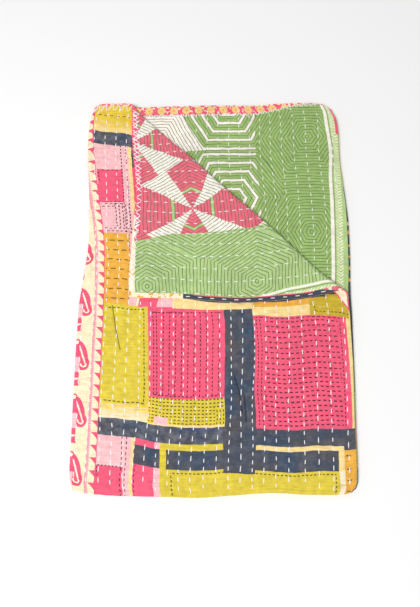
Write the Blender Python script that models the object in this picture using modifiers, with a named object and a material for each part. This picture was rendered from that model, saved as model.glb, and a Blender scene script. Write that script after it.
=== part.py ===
"""A kantha quilt: one hand-stitched sheet of layered cotton, folded in quarters, one corner turned back.

Metres, +Z up.  The folded quilt lies on the plane z = 0 with its origin under its middle.  The folds are
on the left (-X) and at the front (-Y), the open hems on the right (+X) and at the back (+Y).  The sheet
is first doubled about the front fold and then about the left fold, so four layers lie on each other.  The
free corner of the top layer is turned back over it along a slanting crease.

In the unfolded sheet u runs across, from the left fold, and v runs along, from the front fold.  The
quarter with u > 0 and v > 0 is the top layer, u > 0 and v < 0 the second, u < 0 and v < 0 the third and
u < 0 and v > 0 the one underneath.
"""

import math
from collections import namedtuple

import bmesh
import bpy
from mathutils import Matrix, Vector

# The unfolded quilt
CLOTH_WIDTH = 1.20
CLOTH_LENGTH = 1.80
CLOTH_THICKNESS = 0.0023
SEAM_THICKNESS_SHARE = 0.5  # how much of the thickness a row of running stitches leaves
STITCH_ROW_SPACING = 0.0262
FIRST_STITCH_ROW = 0.0210  # from the left fold to the first row

# How the layers lie
LAYER_PITCH = 0.0038  # from the middle of one layer to the middle of the next
FRONT_FOLD_RADIUS = LAYER_PITCH / 2
LEFT_FOLD_RADIUS = LAYER_PITCH
TURNED_CORNER_LIFT = 0.0043  # the turned corner's middle above the top layer's, away from the crease
TURNED_CORNER_SETTLES = 0.090  # how far from the crease it comes down to that
STACK_MIDDLE = CLOTH_THICKNESS / 2 + 1.5 * LAYER_PITCH

# The lowest layer is a little uneven: it bears on the surface at three spots and is just off it elsewhere
UNDERSIDE_LIFT = 0.0006
RESTING_SPOTS = (Vector((-0.179, -0.300)), Vector((0.181, -0.300)), Vector((-0.059, 0.300)))
RESTING_SPOT_REACH = 0.100

# The folded outline
FOLDED_WIDTH = 0.600
FOLDED_LENGTH = 0.900
LEFT_FOLD_X = -FOLDED_WIDTH / 2 + LEFT_FOLD_RADIUS + FRONT_FOLD_RADIUS + CLOTH_THICKNESS / 2
FRONT_FOLD_Y = -FOLDED_LENGTH / 2 + FRONT_FOLD_RADIUS + CLOTH_THICKNESS / 2

# The crease of the turned corner: where its roll starts, and how it loosens towards the right hem
CREASE_AT_BACK_HEM = Vector((-0.2056, 0.4467))
CREASE_AT_RIGHT_HEM = Vector((0.2977, -0.0329))
TIGHT_ROLL_RADIUS = 0.0033
LOOSE_ROLL_RADIUS = 0.0080
ROLL_FLATNESS = 0.65  # the roll's height as a share of a round one's
TURNED_TIP_SHIFT = Vector((-0.0110, 0.0230))  # the quilt is not quite square, so its corner lands off true
CREASE_BOW_REACH = 0.110  # how far the flat layer before the crease takes part in the crease's bow

Edge = namedtuple("Edge", "at out")

# How far the crease bows into the top layer, by the distance along it from the back hem
CREASE_BOW = (
    Edge(at=0.180, out=0.0000),
    Edge(at=0.260, out=0.0045),
    Edge(at=0.340, out=0.0090),
    Edge(at=0.440, out=0.0105),
    Edge(at=0.530, out=0.0130),
    Edge(at=0.595, out=0.0132),
    Edge(at=0.650, out=0.0085),
    Edge(at=0.700, out=0.0025),
)

# How far each fold and hem stands out (+) or is drawn in (-) from the true rectangle
LEFT_FOLD = (
    Edge(at=-0.450, out=-0.0085),
    Edge(at=-0.425, out=-0.0015),
    Edge(at=-0.390, out=0.0000),
    Edge(at=-0.060, out=0.0000),
    Edge(at=0.020, out=-0.0070),
    Edge(at=0.100, out=-0.0140),
    Edge(at=0.220, out=-0.0085),
    Edge(at=0.320, out=-0.0010),
    Edge(at=0.370, out=0.0010),
    Edge(at=0.415, out=-0.0020),
    Edge(at=0.450, out=-0.0100),
)
RIGHT_HEM = (
    Edge(at=-0.450, out=-0.0075),
    Edge(at=-0.425, out=-0.0010),
    Edge(at=-0.395, out=0.0010),
    Edge(at=-0.320, out=0.0020),
    Edge(at=-0.210, out=0.0055),
    Edge(at=-0.085, out=0.0070),
    Edge(at=-0.020, out=0.0060),
    Edge(at=0.070, out=0.0092),
    Edge(at=0.190, out=0.0100),
    Edge(at=0.250, out=0.0062),
    Edge(at=0.310, out=0.0020),
    Edge(at=0.390, out=0.0020),
    Edge(at=0.426, out=-0.0015),
    Edge(at=0.450, out=-0.0110),
)
FRONT_FOLD = (
    Edge(at=-0.300, out=-0.0085),
    Edge(at=-0.272, out=-0.0025),
    Edge(at=-0.240, out=0.0000),
    Edge(at=-0.205, out=0.0020),
    Edge(at=-0.110, out=0.0040),
    Edge(at=-0.028, out=0.0060),
    Edge(at=0.030, out=0.0020),
    Edge(at=0.130, out=-0.0040),
    Edge(at=0.200, out=0.0000),
    Edge(at=0.250, out=-0.0005),
    Edge(at=0.275, out=-0.0035),
    Edge(at=0.300, out=-0.0100),
)
BACK_HEM = (
    Edge(at=-0.300, out=-0.0070),
    Edge(at=-0.280, out=-0.0010),
    Edge(at=-0.210, out=0.0000),
    Edge(at=-0.190, out=-0.0060),
    Edge(at=-0.120, out=-0.0045),
    Edge(at=0.000, out=-0.0010),
    Edge(at=0.100, out=0.0000),
    Edge(at=0.180, out=0.0056),
    Edge(at=0.230, out=0.0075),
    Edge(at=0.270, out=0.0055),
    Edge(at=0.288, out=0.0000),
    Edge(at=0.300, out=-0.0100),
)

UNDER_PAIR_OUT = 0.0016  # how far the lower two layers' front fold stands out past the upper two's

# How much further in each layer's open hems stop
Layer = namedtuple("Layer", "right_hem back_hem")
TOP = Layer(right_hem=0.0050, back_hem=0.0000)
SECOND = Layer(right_hem=0.0025, back_hem=0.0025)
THIRD = Layer(right_hem=0.0000, back_hem=0.0010)
UNDERNEATH = Layer(right_hem=0.0035, back_hem=0.0035)

# How the two hems of the turned corner wander, by the share of the way from the crease to its tip
TURNED_BACK_HEM = (
    Edge(at=0.00, out=0.0000),
    Edge(at=0.08, out=-0.0042),
    Edge(at=0.16, out=-0.0055),
    Edge(at=0.28, out=-0.0059),
    Edge(at=0.40, out=-0.0067),
    Edge(at=0.47, out=-0.0050),
    Edge(at=0.60, out=0.0015),
    Edge(at=0.70, out=0.0060),
    Edge(at=0.80, out=0.0060),
    Edge(at=0.90, out=0.0042),
    Edge(at=1.00, out=0.0000),
)
TURNED_RIGHT_HEM = (
    Edge(at=0.00, out=0.0000),
    Edge(at=0.06, out=0.0050),
    Edge(at=0.12, out=0.0092),
    Edge(at=0.20, out=0.0120),
    Edge(at=0.30, out=0.0152),
    Edge(at=0.40, out=0.0168),
    Edge(at=0.47, out=0.0160),
    Edge(at=0.56, out=0.0120),
    Edge(at=0.66, out=0.0062),
    Edge(at=0.74, out=0.0036),
    Edge(at=0.90, out=0.0024),
    Edge(at=1.00, out=0.0000),
)

# Long low waves in which the layers lie on each other, as a share of their height
Wave = namedtuple("Wave", "length heading phase share")
WAVES = (
    Wave(length=0.310, heading=12.0, phase=0.4, share=0.070),
    Wave(length=0.230, heading=74.0, phase=2.1, share=0.060),
    Wave(length=0.170, heading=128.0, phase=3.7, share=0.045),
)

# Where the flat sheet is parted into faces
FOLD_STEPS = 6
EDGE_CUTS = (0.006, 0.016)
ROW_LENGTH = 0.078
UNDER_SPACING = 0.110
CREASE_STEPS = 6
CUT_SNAP = 0.0004  # a cut runs through a corner that lies nearer to it than this

QUILT_COLOUR = (0.87, 0.24, 0.32, 1.0)
QUILT_ROUGHNESS = 0.9


def follow(table, at):
    """Return the smooth curve through a table's rows, at one place along it."""
    if at <= table[0].at:
        return table[0].out
    if at >= table[-1].at:
        return table[-1].out
    after = next(i for i, row in enumerate(table) if row.at > at)
    before = after - 1
    low, high = table[before], table[after]
    step = high.at - low.at
    share = (at - low.at) / step

    def slope(i):
        if i in (0, len(table) - 1):
            return 0.0
        return (table[i + 1].out - table[i - 1].out) / (table[i + 1].at - table[i - 1].at)

    rest = 1.0 - share
    return (
        low.out * rest * rest * (1.0 + 2.0 * share)
        + high.out * share * share * (3.0 - 2.0 * share)
        + step * slope(before) * rest * rest * share
        - step * slope(after) * share * share * rest
    )


def clamp(value, low, high):
    """Return the value held between two others."""
    return max(low, min(high, value))


def ease(share):
    """Return a share from 0 to 1 that starts and stops gently."""
    share = clamp(share, 0.0, 1.0)
    return share * share * (3.0 - 2.0 * share)


def bend(arc, radius):
    """Return how far past a half-turn fold a point lies, and how far round the fold it is turned."""
    half = math.pi * radius / 2
    return max(abs(arc) - half, 0.0), clamp((half - arc) / radius, 0.0, math.pi)


def crease_axes():
    """Return the crease's direction, and the way across it towards the free corner."""
    along = (CREASE_AT_RIGHT_HEM - CREASE_AT_BACK_HEM).normalized()
    return along, Vector((-along.y, along.x))


def roll_radius(along):
    """Return the radius of the crease's roll at a distance along it from the back hem."""
    share = along / (CREASE_AT_RIGHT_HEM - CREASE_AT_BACK_HEM).length
    return TIGHT_ROLL_RADIUS + (LOOSE_ROLL_RADIUS - TIGHT_ROLL_RADIUS) * clamp(share, 0.0, 1.0)


def flat_right_hem():
    """Return where the top layer's right hem would lie, were its corner not turned back."""
    return LEFT_FOLD_X + CLOTH_WIDTH / 2 - math.pi * LEFT_FOLD_RADIUS / 2


def flat_back_hem():
    """Return where the top layer's back hem would lie, were its corner not turned back."""
    return FRONT_FOLD_Y + CLOTH_LENGTH / 2 - math.pi * FRONT_FOLD_RADIUS / 2


def turn_corner(x, y):
    """Turn a point of the top layer back over the crease, and return its place and its lift."""
    along, across = crease_axes()
    place = Vector((x, y)) - CREASE_AT_BACK_HEM
    beyond = place.dot(across)
    bowed = across * follow(CREASE_BOW, place.dot(along))
    if beyond <= 0.0:
        bowed *= ease(1.0 + beyond / CREASE_BOW_REACH)
        return x - bowed.x, y - bowed.y, 0.0
    radius = roll_radius(place.dot(along))
    turn = min(beyond / radius, math.pi)
    back = max(beyond - math.pi * radius, 0.0)
    tip = Vector((flat_right_hem(), flat_back_hem())) - CREASE_AT_BACK_HEM
    share = back / (tip.dot(across) - math.pi * roll_radius(tip.dot(along)))
    from_right_hem = flat_right_hem() - x
    from_back_hem = flat_back_hem() - y
    from_hems = from_right_hem + from_back_hem
    toward_side = from_right_hem / from_hems if from_hems > 0.0 else 0.5
    landed = CREASE_AT_BACK_HEM + along * place.dot(along) + across * (radius * math.sin(turn) - back)
    landed += TURNED_TIP_SHIFT * share - bowed
    landed.x -= toward_side * follow(TURNED_BACK_HEM, share)
    landed.y -= (1.0 - toward_side) * follow(TURNED_RIGHT_HEM, share)
    rolled = ROLL_FLATNESS * radius * (1.0 - math.cos(turn))
    settled = ease(back / TURNED_CORNER_SETTLES)
    return landed.x, landed.y, rolled + (TURNED_CORNER_LIFT - rolled) * settled


def wave_height(x, y):
    """Return how much higher than flat the layers lie at one place, as a share from 0 up."""
    height = 0.0
    for wave in WAVES:
        heading = math.radians(wave.heading)
        along = x * math.cos(heading) + y * math.sin(heading)
        height += wave.share * (1.0 + math.sin(2.0 * math.pi * along / wave.length + wave.phase))
    return height


def underside_lift(x, y):
    """Return how far the lowest layer lies off the surface at one place."""
    nearest = min((Vector((x, y)) - spot).length for spot in RESTING_SPOTS)
    return UNDERSIDE_LIFT * min(nearest / RESTING_SPOT_REACH, 1.0)


def folded(u, v):
    """Return where a point of the unfolded sheet lies in the folded quilt."""
    past_front, front_turn = bend(v, FRONT_FOLD_RADIUS)
    past_left, left_turn = bend(u, LEFT_FOLD_RADIUS)
    outer = FRONT_FOLD_RADIUS * math.cos(front_turn)
    radius = LEFT_FOLD_RADIUS + outer
    x = LEFT_FOLD_X + past_left - radius * math.sin(left_turn)
    y = FRONT_FOLD_Y + past_front - FRONT_FOLD_RADIUS * math.sin(front_turn)
    z = STACK_MIDDLE + radius * math.cos(left_turn)

    # the layers part smoothly from each other between the folds and their open hems
    outer_share = (outer / FRONT_FOLD_RADIUS + 1.0) / 2.0
    near, far = (TOP, SECOND) if u > 0.0 else (UNDERNEATH, THIRD)
    right_inset = far.right_hem + (near.right_hem - far.right_hem) * outer_share
    back_inset = far.back_hem + (near.back_hem - far.back_hem) * outer_share

    if u > 0.0 and v > 0.0:
        x, y, lift = turn_corner(x, y)
        z += lift
    across = clamp(x / FOLDED_WIDTH + 0.5, 0.0, 1.0)
    along = clamp(y / FOLDED_LENGTH + 0.5, 0.0, 1.0)
    out_right = follow(RIGHT_HEM, y) - right_inset
    out_back = follow(BACK_HEM, x) - back_inset * across
    warped_x = x + across * out_right - (1.0 - across) * follow(LEFT_FOLD, y)
    out_front = follow(FRONT_FOLD, x) + UNDER_PAIR_OUT * left_turn / math.pi
    warped_y = y + along * out_back - (1.0 - along) * out_front
    raised = max(z - CLOTH_THICKNESS, 0.0)
    return Vector((warped_x, warped_y, z + raised * wave_height(x, y) + underside_lift(x, y)))


def stitch_rows():
    """Return the distance of each row of running stitches from the left fold."""
    count = int((CLOTH_WIDTH / 2 - FIRST_STITCH_ROW) / STITCH_ROW_SPACING) + 1
    return [FIRST_STITCH_ROW + i * STITCH_ROW_SPACING for i in range(count)]


def fold_cuts(radius):
    """Return the cuts across a fold, measured round it from its middle."""
    half = math.pi * radius / 2
    return [half * (2.0 * i / FOLD_STEPS - 1.0) for i in range(FOLD_STEPS + 1)]


def cuts_across():
    """Return the places across the unfolded sheet where it is parted into faces."""
    hem = CLOTH_WIDTH / 2
    rows = stitch_rows()
    cuts = fold_cuts(LEFT_FOLD_RADIUS)
    cuts += rows
    cuts += [row + STITCH_ROW_SPACING / 2 for row in rows]
    under_count = round(hem / UNDER_SPACING)
    cuts += [-hem * i / under_count for i in range(1, under_count)]
    cuts += [-hem + cut for cut in EDGE_CUTS]
    cuts.append(hem - EDGE_CUTS[0])
    return [cut for cut in cuts if abs(cut) <= hem - EDGE_CUTS[0]]


def cuts_along():
    """Return the places along the unfolded sheet where it is parted into faces."""
    hem = CLOTH_LENGTH / 2
    count = round(hem / ROW_LENGTH)
    cuts = fold_cuts(FRONT_FOLD_RADIUS)
    for side in (-1.0, 1.0):
        cuts += [side * hem * i / count for i in range(1, count)]
        cuts += [side * (hem - cut) for cut in EDGE_CUTS]
        cuts += [side * (math.pi * FRONT_FOLD_RADIUS / 2 + cut) for cut in EDGE_CUTS]
    return cuts


def part_faces(sheet, point, normal, faces=None):
    """Cut the faces of a flat sheet along one straight line."""
    faces = list(sheet.faces) if faces is None else faces
    edges = {edge for face in faces for edge in face.edges}
    verts = {vert for face in faces for vert in face.verts}
    bmesh.ops.bisect_plane(
        sheet, geom=faces + list(edges) + list(verts), dist=CUT_SNAP, plane_co=point, plane_no=normal
    )


def cut_crease(sheet):
    """Part the top layer's faces round the crease, so that it turns in a smooth roll."""
    along, across = crease_axes()
    ends = CREASE_AT_BACK_HEM, CREASE_AT_RIGHT_HEM
    to_sheet = Vector(
        (
            math.pi * LEFT_FOLD_RADIUS / 2 - LEFT_FOLD_X,
            math.pi * FRONT_FOLD_RADIUS / 2 - FRONT_FOLD_Y,
        )
    )
    fold_end = math.pi * LEFT_FOLD_RADIUS / 2
    for i in range(CREASE_STEPS + 1):
        tight, loose = (
            end + to_sheet + across * (math.pi * radius * i / CREASE_STEPS)
            for end, radius in zip(ends, (TIGHT_ROLL_RADIUS, LOOSE_ROLL_RADIUS))
        )
        line = (loose - tight).normalized()
        top_faces = []
        for face in sheet.faces:
            middle = face.calc_center_median()
            if middle.x > fold_end and middle.y > 0.0:
                top_faces.append(face)
        part_faces(sheet, tight.to_3d(), (-line.y, line.x, 0.0), top_faces)


def quilted_sheet():
    """Return the unfolded sheet as one bmesh, parted at its folds and stitch rows."""
    sheet = bmesh.new()
    bmesh.ops.create_grid(sheet, x_segments=1, y_segments=1, size=0.5)
    bmesh.ops.scale(sheet, vec=(CLOTH_WIDTH, CLOTH_LENGTH, 1.0), verts=sheet.verts)
    for cut in cuts_across():
        part_faces(sheet, (cut, 0.0, 0.0), (1.0, 0.0, 0.0))
    for cut in cuts_along():
        part_faces(sheet, (0.0, cut, 0.0), (0.0, 1.0, 0.0))
    cut_crease(sheet)
    return sheet


def stitched_share(u):
    """Return how thick the sheet is at one place across it, as a share of its full thickness."""
    if u < FIRST_STITCH_ROW - STITCH_ROW_SPACING / 2:
        return 1.0
    nearest = round((u - FIRST_STITCH_ROW) / STITCH_ROW_SPACING) * STITCH_ROW_SPACING + FIRST_STITCH_ROW
    from_row = clamp(abs(u - nearest) / (STITCH_ROW_SPACING / 2), 0.0, 1.0)
    return SEAM_THICKNESS_SHARE + (1.0 - SEAM_THICKNESS_SHARE) * from_row


def cotton():
    """Return the quilt's plain cotton material."""
    material = bpy.data.materials.new("printed_cotton")
    material.use_nodes = True
    shader = material.node_tree.nodes["Principled BSDF"]
    shader.inputs["Base Color"].default_value = QUILT_COLOUR
    shader.inputs["Roughness"].default_value = QUILT_ROUGHNESS
    shader.inputs["Metallic"].default_value = 0.0
    return material


def centre_over_origin(quilt):
    """Slide the quilt's mesh over the surface until its outline is centred on the origin."""
    bpy.context.view_layer.update()
    corners = quilt.evaluated_get(bpy.context.evaluated_depsgraph_get()).bound_box
    middle_x = (min(c[0] for c in corners) + max(c[0] for c in corners)) / 2
    middle_y = (min(c[1] for c in corners) + max(c[1] for c in corners)) / 2
    quilt.data.transform(Matrix.Translation((-middle_x, -middle_y, 0.0)))


def build_quilt(collection):
    """Fold the sheet, give it its stitched thickness and set it over the origin."""
    sheet = quilted_sheet()
    shares = [stitched_share(vert.co.x) for vert in sheet.verts]
    for vert in sheet.verts:
        vert.co = folded(vert.co.x, vert.co.y)
    mesh = bpy.data.meshes.new("quilt")
    sheet.to_mesh(mesh)
    sheet.free()
    quilt = bpy.data.objects.new("quilt", mesh)
    collection.objects.link(quilt)
    mesh.materials.append(cotton())

    stitching = quilt.vertex_groups.new(name="between_stitch_rows")
    for index, share in enumerate(shares):
        stitching.add([index], share, "REPLACE")
    solid = quilt.modifiers.new("cloth thickness", "SOLIDIFY")
    solid.thickness = CLOTH_THICKNESS
    solid.offset = 0.0
    solid.use_rim = True
    solid.vertex_group = stitching.name
    mesh.shade_smooth()
    centre_over_origin(quilt)
    return quilt


def main():
    """Empty the scene and build the quilt in its own collection."""
    for item in list(bpy.data.objects):
        bpy.data.objects.remove(item, do_unlink=True)
    collection = bpy.data.collections.new("kantha quilt")
    bpy.context.scene.collection.children.link(collection)
    build_quilt(collection)


main()
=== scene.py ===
"""A kantha quilt, folded in quarters with one corner turned back: its printed cloth and its stitching.

Everything is in metres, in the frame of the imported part.  In the unfolded sheet u runs across from the
left fold and v runs along from the front fold.  Face A carries the patchwork print and Face B the green
hexagon print.  The quarter with u > 0 and v > 0 is the top layer, and its free corner is turned back.
"""

import logging
import math
from bisect import bisect_left
from collections import namedtuple
from collections.abc import Callable, Sequence
from dataclasses import dataclass, field
from enum import Enum

import bmesh
import bpy
from mathutils import Matrix, Vector, noise


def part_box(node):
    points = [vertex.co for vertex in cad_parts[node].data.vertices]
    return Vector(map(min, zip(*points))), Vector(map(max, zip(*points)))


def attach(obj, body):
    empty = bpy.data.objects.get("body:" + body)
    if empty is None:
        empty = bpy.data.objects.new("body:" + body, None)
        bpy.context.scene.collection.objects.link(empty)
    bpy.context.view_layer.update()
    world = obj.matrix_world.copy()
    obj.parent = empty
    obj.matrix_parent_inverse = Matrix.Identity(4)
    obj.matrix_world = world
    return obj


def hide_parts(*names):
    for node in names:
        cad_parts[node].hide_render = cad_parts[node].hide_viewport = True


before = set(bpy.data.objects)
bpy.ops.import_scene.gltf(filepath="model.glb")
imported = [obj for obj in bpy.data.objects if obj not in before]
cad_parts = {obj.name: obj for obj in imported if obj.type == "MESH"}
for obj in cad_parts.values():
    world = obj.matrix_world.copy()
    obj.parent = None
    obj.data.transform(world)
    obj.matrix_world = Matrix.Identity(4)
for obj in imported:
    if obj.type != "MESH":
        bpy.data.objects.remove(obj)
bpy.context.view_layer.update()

LOG = logging.getLogger("kantha_quilt")

CLOTH_WIDTH = 1.20
CLOTH_LENGTH = 1.80
SIDE_HEM = CLOTH_WIDTH / 2
END_HEM = CLOTH_LENGTH / 2

Layer = namedtuple("Layer", "right_hem back_hem")
Wave = namedtuple("Wave", "length heading phase share")
Crease = namedtuple("Crease", "u0 v0 u1 v1 width depth")


def clamp(value: float, low: float, high: float) -> float:
    """Return the value held between two limits."""
    return max(low, min(high, value))


def ease(share: float) -> float:
    """Return a share from 0 to 1 with a soft start and end."""
    share = clamp(share, 0.0, 1.0)
    return share * share * (3.0 - 2.0 * share)


def follow(table: Sequence, at: float) -> float:
    """Read a smooth curve through a table's rows.

    Args:
        table: Rows of (at, out), in rising order of at.
        at: The place to read.

    Returns:
        The curve's height there, level past both ends.
    """
    if at <= table[0][0]:
        return table[0][1]
    if at >= table[-1][0]:
        return table[-1][1]
    after = bisect_left([row[0] for row in table], at)
    start, end = table[after - 1], table[after]
    span = end[0] - start[0]
    share = (at - start[0]) / span
    slopes = [0.0, 0.0]
    if after > 1:
        slopes[0] = (end[1] - table[after - 2][1]) / (end[0] - table[after - 2][0]) * span
    if after < len(table) - 1:
        slopes[1] = (table[after + 1][1] - start[1]) / (table[after + 1][0] - start[0]) * span
    square, cube = share ** 2, share ** 3
    return (
        (2.0 * cube - 3.0 * square + 1.0) * start[1]
        + (cube - 2.0 * square + share) * slopes[0]
        + (3.0 * square - 2.0 * cube) * end[1]
        + (cube - square) * slopes[1]
    )


# ----------------------------------------
# How the cloth is folded

# How the folded outline wanders: rows of the place along an edge and how far out the edge lies there
LEFT_FOLD = (
    (-0.450, -0.0085), (-0.425, -0.0015), (-0.390, 0.0000), (-0.060, 0.0000), (0.020, -0.0070),
    (0.100, -0.0140), (0.220, -0.0085), (0.320, -0.0010), (0.370, 0.0010), (0.415, -0.0020),
    (0.450, -0.0100),
)
RIGHT_HEM = (
    (-0.450, -0.0076), (-0.444, -0.0038), (-0.438, -0.0017), (-0.425, -0.0004), (-0.395, 0.0010),
    (-0.320, 0.0020), (-0.210, 0.0055), (-0.085, 0.0070), (-0.020, 0.0060), (0.070, 0.0092),
    (0.190, 0.0100), (0.250, 0.0062), (0.310, 0.0020), (0.390, 0.0020), (0.426, -0.0015),
    (0.450, -0.0110),
)
FRONT_FOLD = (
    (-0.300, -0.0085), (-0.272, -0.0025), (-0.240, 0.0000), (-0.205, 0.0020), (-0.110, 0.0040),
    (-0.028, 0.0060), (0.030, 0.0020), (0.130, -0.0040), (0.200, 0.0000), (0.250, 0.0004),
    (0.275, -0.0004), (0.286, -0.0016), (0.293, -0.0044), (0.300, -0.0100),
)
BACK_HEM = (
    (-0.300, -0.0070), (-0.280, -0.0010), (-0.210, 0.0000), (-0.190, -0.0060), (-0.120, -0.0045),
    (0.000, -0.0010), (0.100, 0.0000), (0.180, 0.0056), (0.230, 0.0075), (0.270, 0.0055), (0.288, 0.0000),
    (0.300, -0.0100),
)
# The same for the turned corner's two hems, by the share of the way to its tip
TURNED_BACK_HEM = (
    (0.00, 0.0000), (0.08, -0.0042), (0.16, -0.0055), (0.28, -0.0059), (0.40, -0.0067), (0.47, -0.0050),
    (0.60, 0.0015), (0.70, 0.0060), (0.80, 0.0060), (0.90, 0.0042), (1.00, 0.0000),
)
TURNED_RIGHT_HEM = (
    (0.00, 0.0000), (0.06, 0.0050), (0.12, 0.0092), (0.20, 0.0120), (0.30, 0.0152), (0.40, 0.0168),
    (0.47, 0.0160), (0.56, 0.0120), (0.66, 0.0062), (0.74, 0.0036), (0.90, 0.0024), (1.00, 0.0000),
)
# How far the turned corner's crease bows into the top layer, by the distance along it from the back hem
CREASE_BOW = (
    (0.180, 0.0000), (0.260, 0.0045), (0.340, 0.0090), (0.440, 0.0105), (0.530, 0.0130), (0.595, 0.0132),
    (0.650, 0.0085), (0.700, 0.0025),
)
# The long low waves of the layers, each with its heading in degrees
WAVES = (
    Wave(length=0.310, heading=12.0, phase=0.4, share=0.070),
    Wave(length=0.230, heading=74.0, phase=2.1, share=0.060),
    Wave(length=0.170, heading=128.0, phase=3.7, share=0.045),
)
# How far each layer's open hems lie inside the outline
TOP = Layer(right_hem=0.0050, back_hem=0.0000)
SECOND = Layer(right_hem=0.0025, back_hem=0.0025)
THIRD = Layer(right_hem=0.0000, back_hem=0.0010)
UNDERNEATH = Layer(right_hem=0.0035, back_hem=0.0035)
# How much further in the second layer's right hem is tucked, and how far out the third layer's stands
SECOND_TUCKED = ((-0.180, 0.0), (-0.150, 0.0020), (-0.020, 0.0020), (0.030, 0.0))
THIRD_OUT = ((-0.130, 0.0), (-0.060, 0.0012), (0.000, 0.0020), (0.130, 0.0024), (0.165, 0.0018), (0.200, 0.0))
RESTING_SPOTS = (Vector((-0.179, -0.300)), Vector((0.181, -0.300)), Vector((-0.059, 0.300)))


@dataclass(frozen=True)
class FoldedCloth:
    """Where each point of the unfolded sheet lies once it is folded, with the sizes that set it."""

    thickness: float = 0.0023
    pitch: float = 0.0038
    width: float = 0.600
    length: float = 0.900
    corner_lift: float = 0.0043
    corner_settles: float = 0.090
    crease_at_back_hem: Vector = Vector((-0.2056, 0.4467))
    crease_at_right_hem: Vector = Vector((0.2977, -0.0329))
    tight_roll: float = 0.0033
    loose_roll: float = 0.0080
    roll_flatness: float = 0.65
    tip_shift: Vector = Vector((-0.0110, 0.0230))
    bow_reach: float = 0.110
    under_pair_out: float = 0.0016
    underside_lift: float = 0.0006
    resting_reach: float = 0.100

    @property
    def front_radius(self) -> float:
        """Return the radius of the front fold, to the middle of the cloth."""
        return self.pitch / 2

    @property
    def left_radius(self) -> float:
        """Return the radius of the left fold, to the middle between its two layers."""
        return self.pitch

    @property
    def left_x(self) -> float:
        """Return where the left fold starts to bend."""
        return -self.width / 2 + self.left_radius + self.front_radius + self.thickness / 2

    @property
    def front_y(self) -> float:
        """Return where the front fold starts to bend."""
        return -self.length / 2 + self.front_radius + self.thickness / 2

    def crease_axes(self) -> tuple[Vector, Vector]:
        """Return the directions along the turned corner's crease and across it, towards its tip."""
        along = (self.crease_at_right_hem - self.crease_at_back_hem).normalized()
        return along, Vector((-along.y, along.x))

    def roll_radius(self, along: float) -> float:
        """Return the crease's radius at a distance along it from the back hem."""
        share = along / (self.crease_at_right_hem - self.crease_at_back_hem).length
        return self.tight_roll + (self.loose_roll - self.tight_roll) * clamp(share, 0.0, 1.0)

    def flat_corner(self) -> Vector:
        """Return where the top layer's free corner would lie if it weren't turned back."""
        return Vector((
            self.left_x + SIDE_HEM - math.pi * self.left_radius / 2,
            self.front_y + END_HEM - math.pi * self.front_radius / 2,
        ))

    def beyond_crease(self, u: float, v: float) -> float:
        """Return how far a point of the top layer is past the start of the crease.

        Args:
            u: The place across the unfolded sheet.
            v: The place along it.

        Returns:
            The distance, below 0 where it isn't turned.
        """
        x = self.left_x + u - math.pi * self.left_radius / 2
        y = self.front_y + v - math.pi * self.front_radius / 2
        return (Vector((x, y)) - self.crease_at_back_hem).dot(self.crease_axes()[1])

    def turn_corner(self, x: float, y: float) -> tuple[float, float, float]:
        """Roll the top layer's corner over its crease.

        Args:
            x: Where the point would lie flat, to the right.
            y: Where the point would lie flat, to the back.

        Returns:
            Where it lies, and how far it is lifted.
        """
        along, across = self.crease_axes()
        place = Vector((x, y)) - self.crease_at_back_hem
        beyond = place.dot(across)
        bowed = across * follow(CREASE_BOW, place.dot(along))
        if beyond <= 0.0:
            bowed *= ease(1.0 + beyond / self.bow_reach)
            return x - bowed.x, y - bowed.y, 0.0
        radius = self.roll_radius(place.dot(along))
        turn = min(beyond / radius, math.pi)
        back = max(beyond - math.pi * radius, 0.0)
        corner = self.flat_corner()
        tip = corner - self.crease_at_back_hem
        share = back / (tip.dot(across) - math.pi * self.roll_radius(tip.dot(along)))
        from_right_hem = corner.x - x
        from_back_hem = corner.y - y
        from_hems = from_right_hem + from_back_hem
        toward_side = from_right_hem / from_hems if from_hems > 0.0 else 0.5
        landed = self.crease_at_back_hem + along * place.dot(along)
        landed += across * (radius * math.sin(turn) - back) + self.tip_shift * share - bowed
        landed.x -= toward_side * follow(TURNED_BACK_HEM, share)
        landed.y -= (1.0 - toward_side) * follow(TURNED_RIGHT_HEM, share)
        rolled = self.roll_flatness * radius * (1.0 - math.cos(turn))
        settled = ease(back / self.corner_settles)
        return landed.x, landed.y, rolled + (self.corner_lift - rolled) * settled

    def wave_height(self, x: float, y: float) -> float:
        """Return how much higher than flat the layers lie at one place, as a share.

        Args:
            x: The place to the right.
            y: The place to the back.

        Returns:
            The share of the height above the lowest layer.
        """
        height = 0.0
        for wave in WAVES:
            heading = math.radians(wave.heading)
            along = x * math.cos(heading) + y * math.sin(heading)
            height += wave.share * (1.0 + math.sin(2.0 * math.pi * along / wave.length + wave.phase))
        return height

    def lift(self, x: float, y: float) -> float:
        """Return how far the lowest layer lies off the surface at one place."""
        nearest = min((Vector((x, y)) - spot).length for spot in RESTING_SPOTS)
        return self.underside_lift * min(nearest / self.resting_reach, 1.0)

    @staticmethod
    def bend(arc: float, radius: float) -> tuple[float, float]:
        """Return how far past a fold a point lies, and how far round the fold it has turned."""
        half = math.pi * radius / 2
        return max(abs(arc) - half, 0.0), clamp((half - arc) / radius, 0.0, math.pi)

    def folded(self, u: float, v: float) -> Vector:
        """Return where the middle of the cloth lies at one place of the unfolded sheet.

        Args:
            u: The place across the unfolded sheet.
            v: The place along it.

        Returns:
            The place in the frame.
        """
        past_front, front_turn = self.bend(v, self.front_radius)
        past_left, left_turn = self.bend(u, self.left_radius)
        outer = self.front_radius * math.cos(front_turn)
        radius = self.left_radius + outer
        x = self.left_x + past_left - radius * math.sin(left_turn)
        y = self.front_y + past_front - self.front_radius * math.sin(front_turn)
        z = self.thickness / 2 + 1.5 * self.pitch + radius * math.cos(left_turn)

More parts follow.
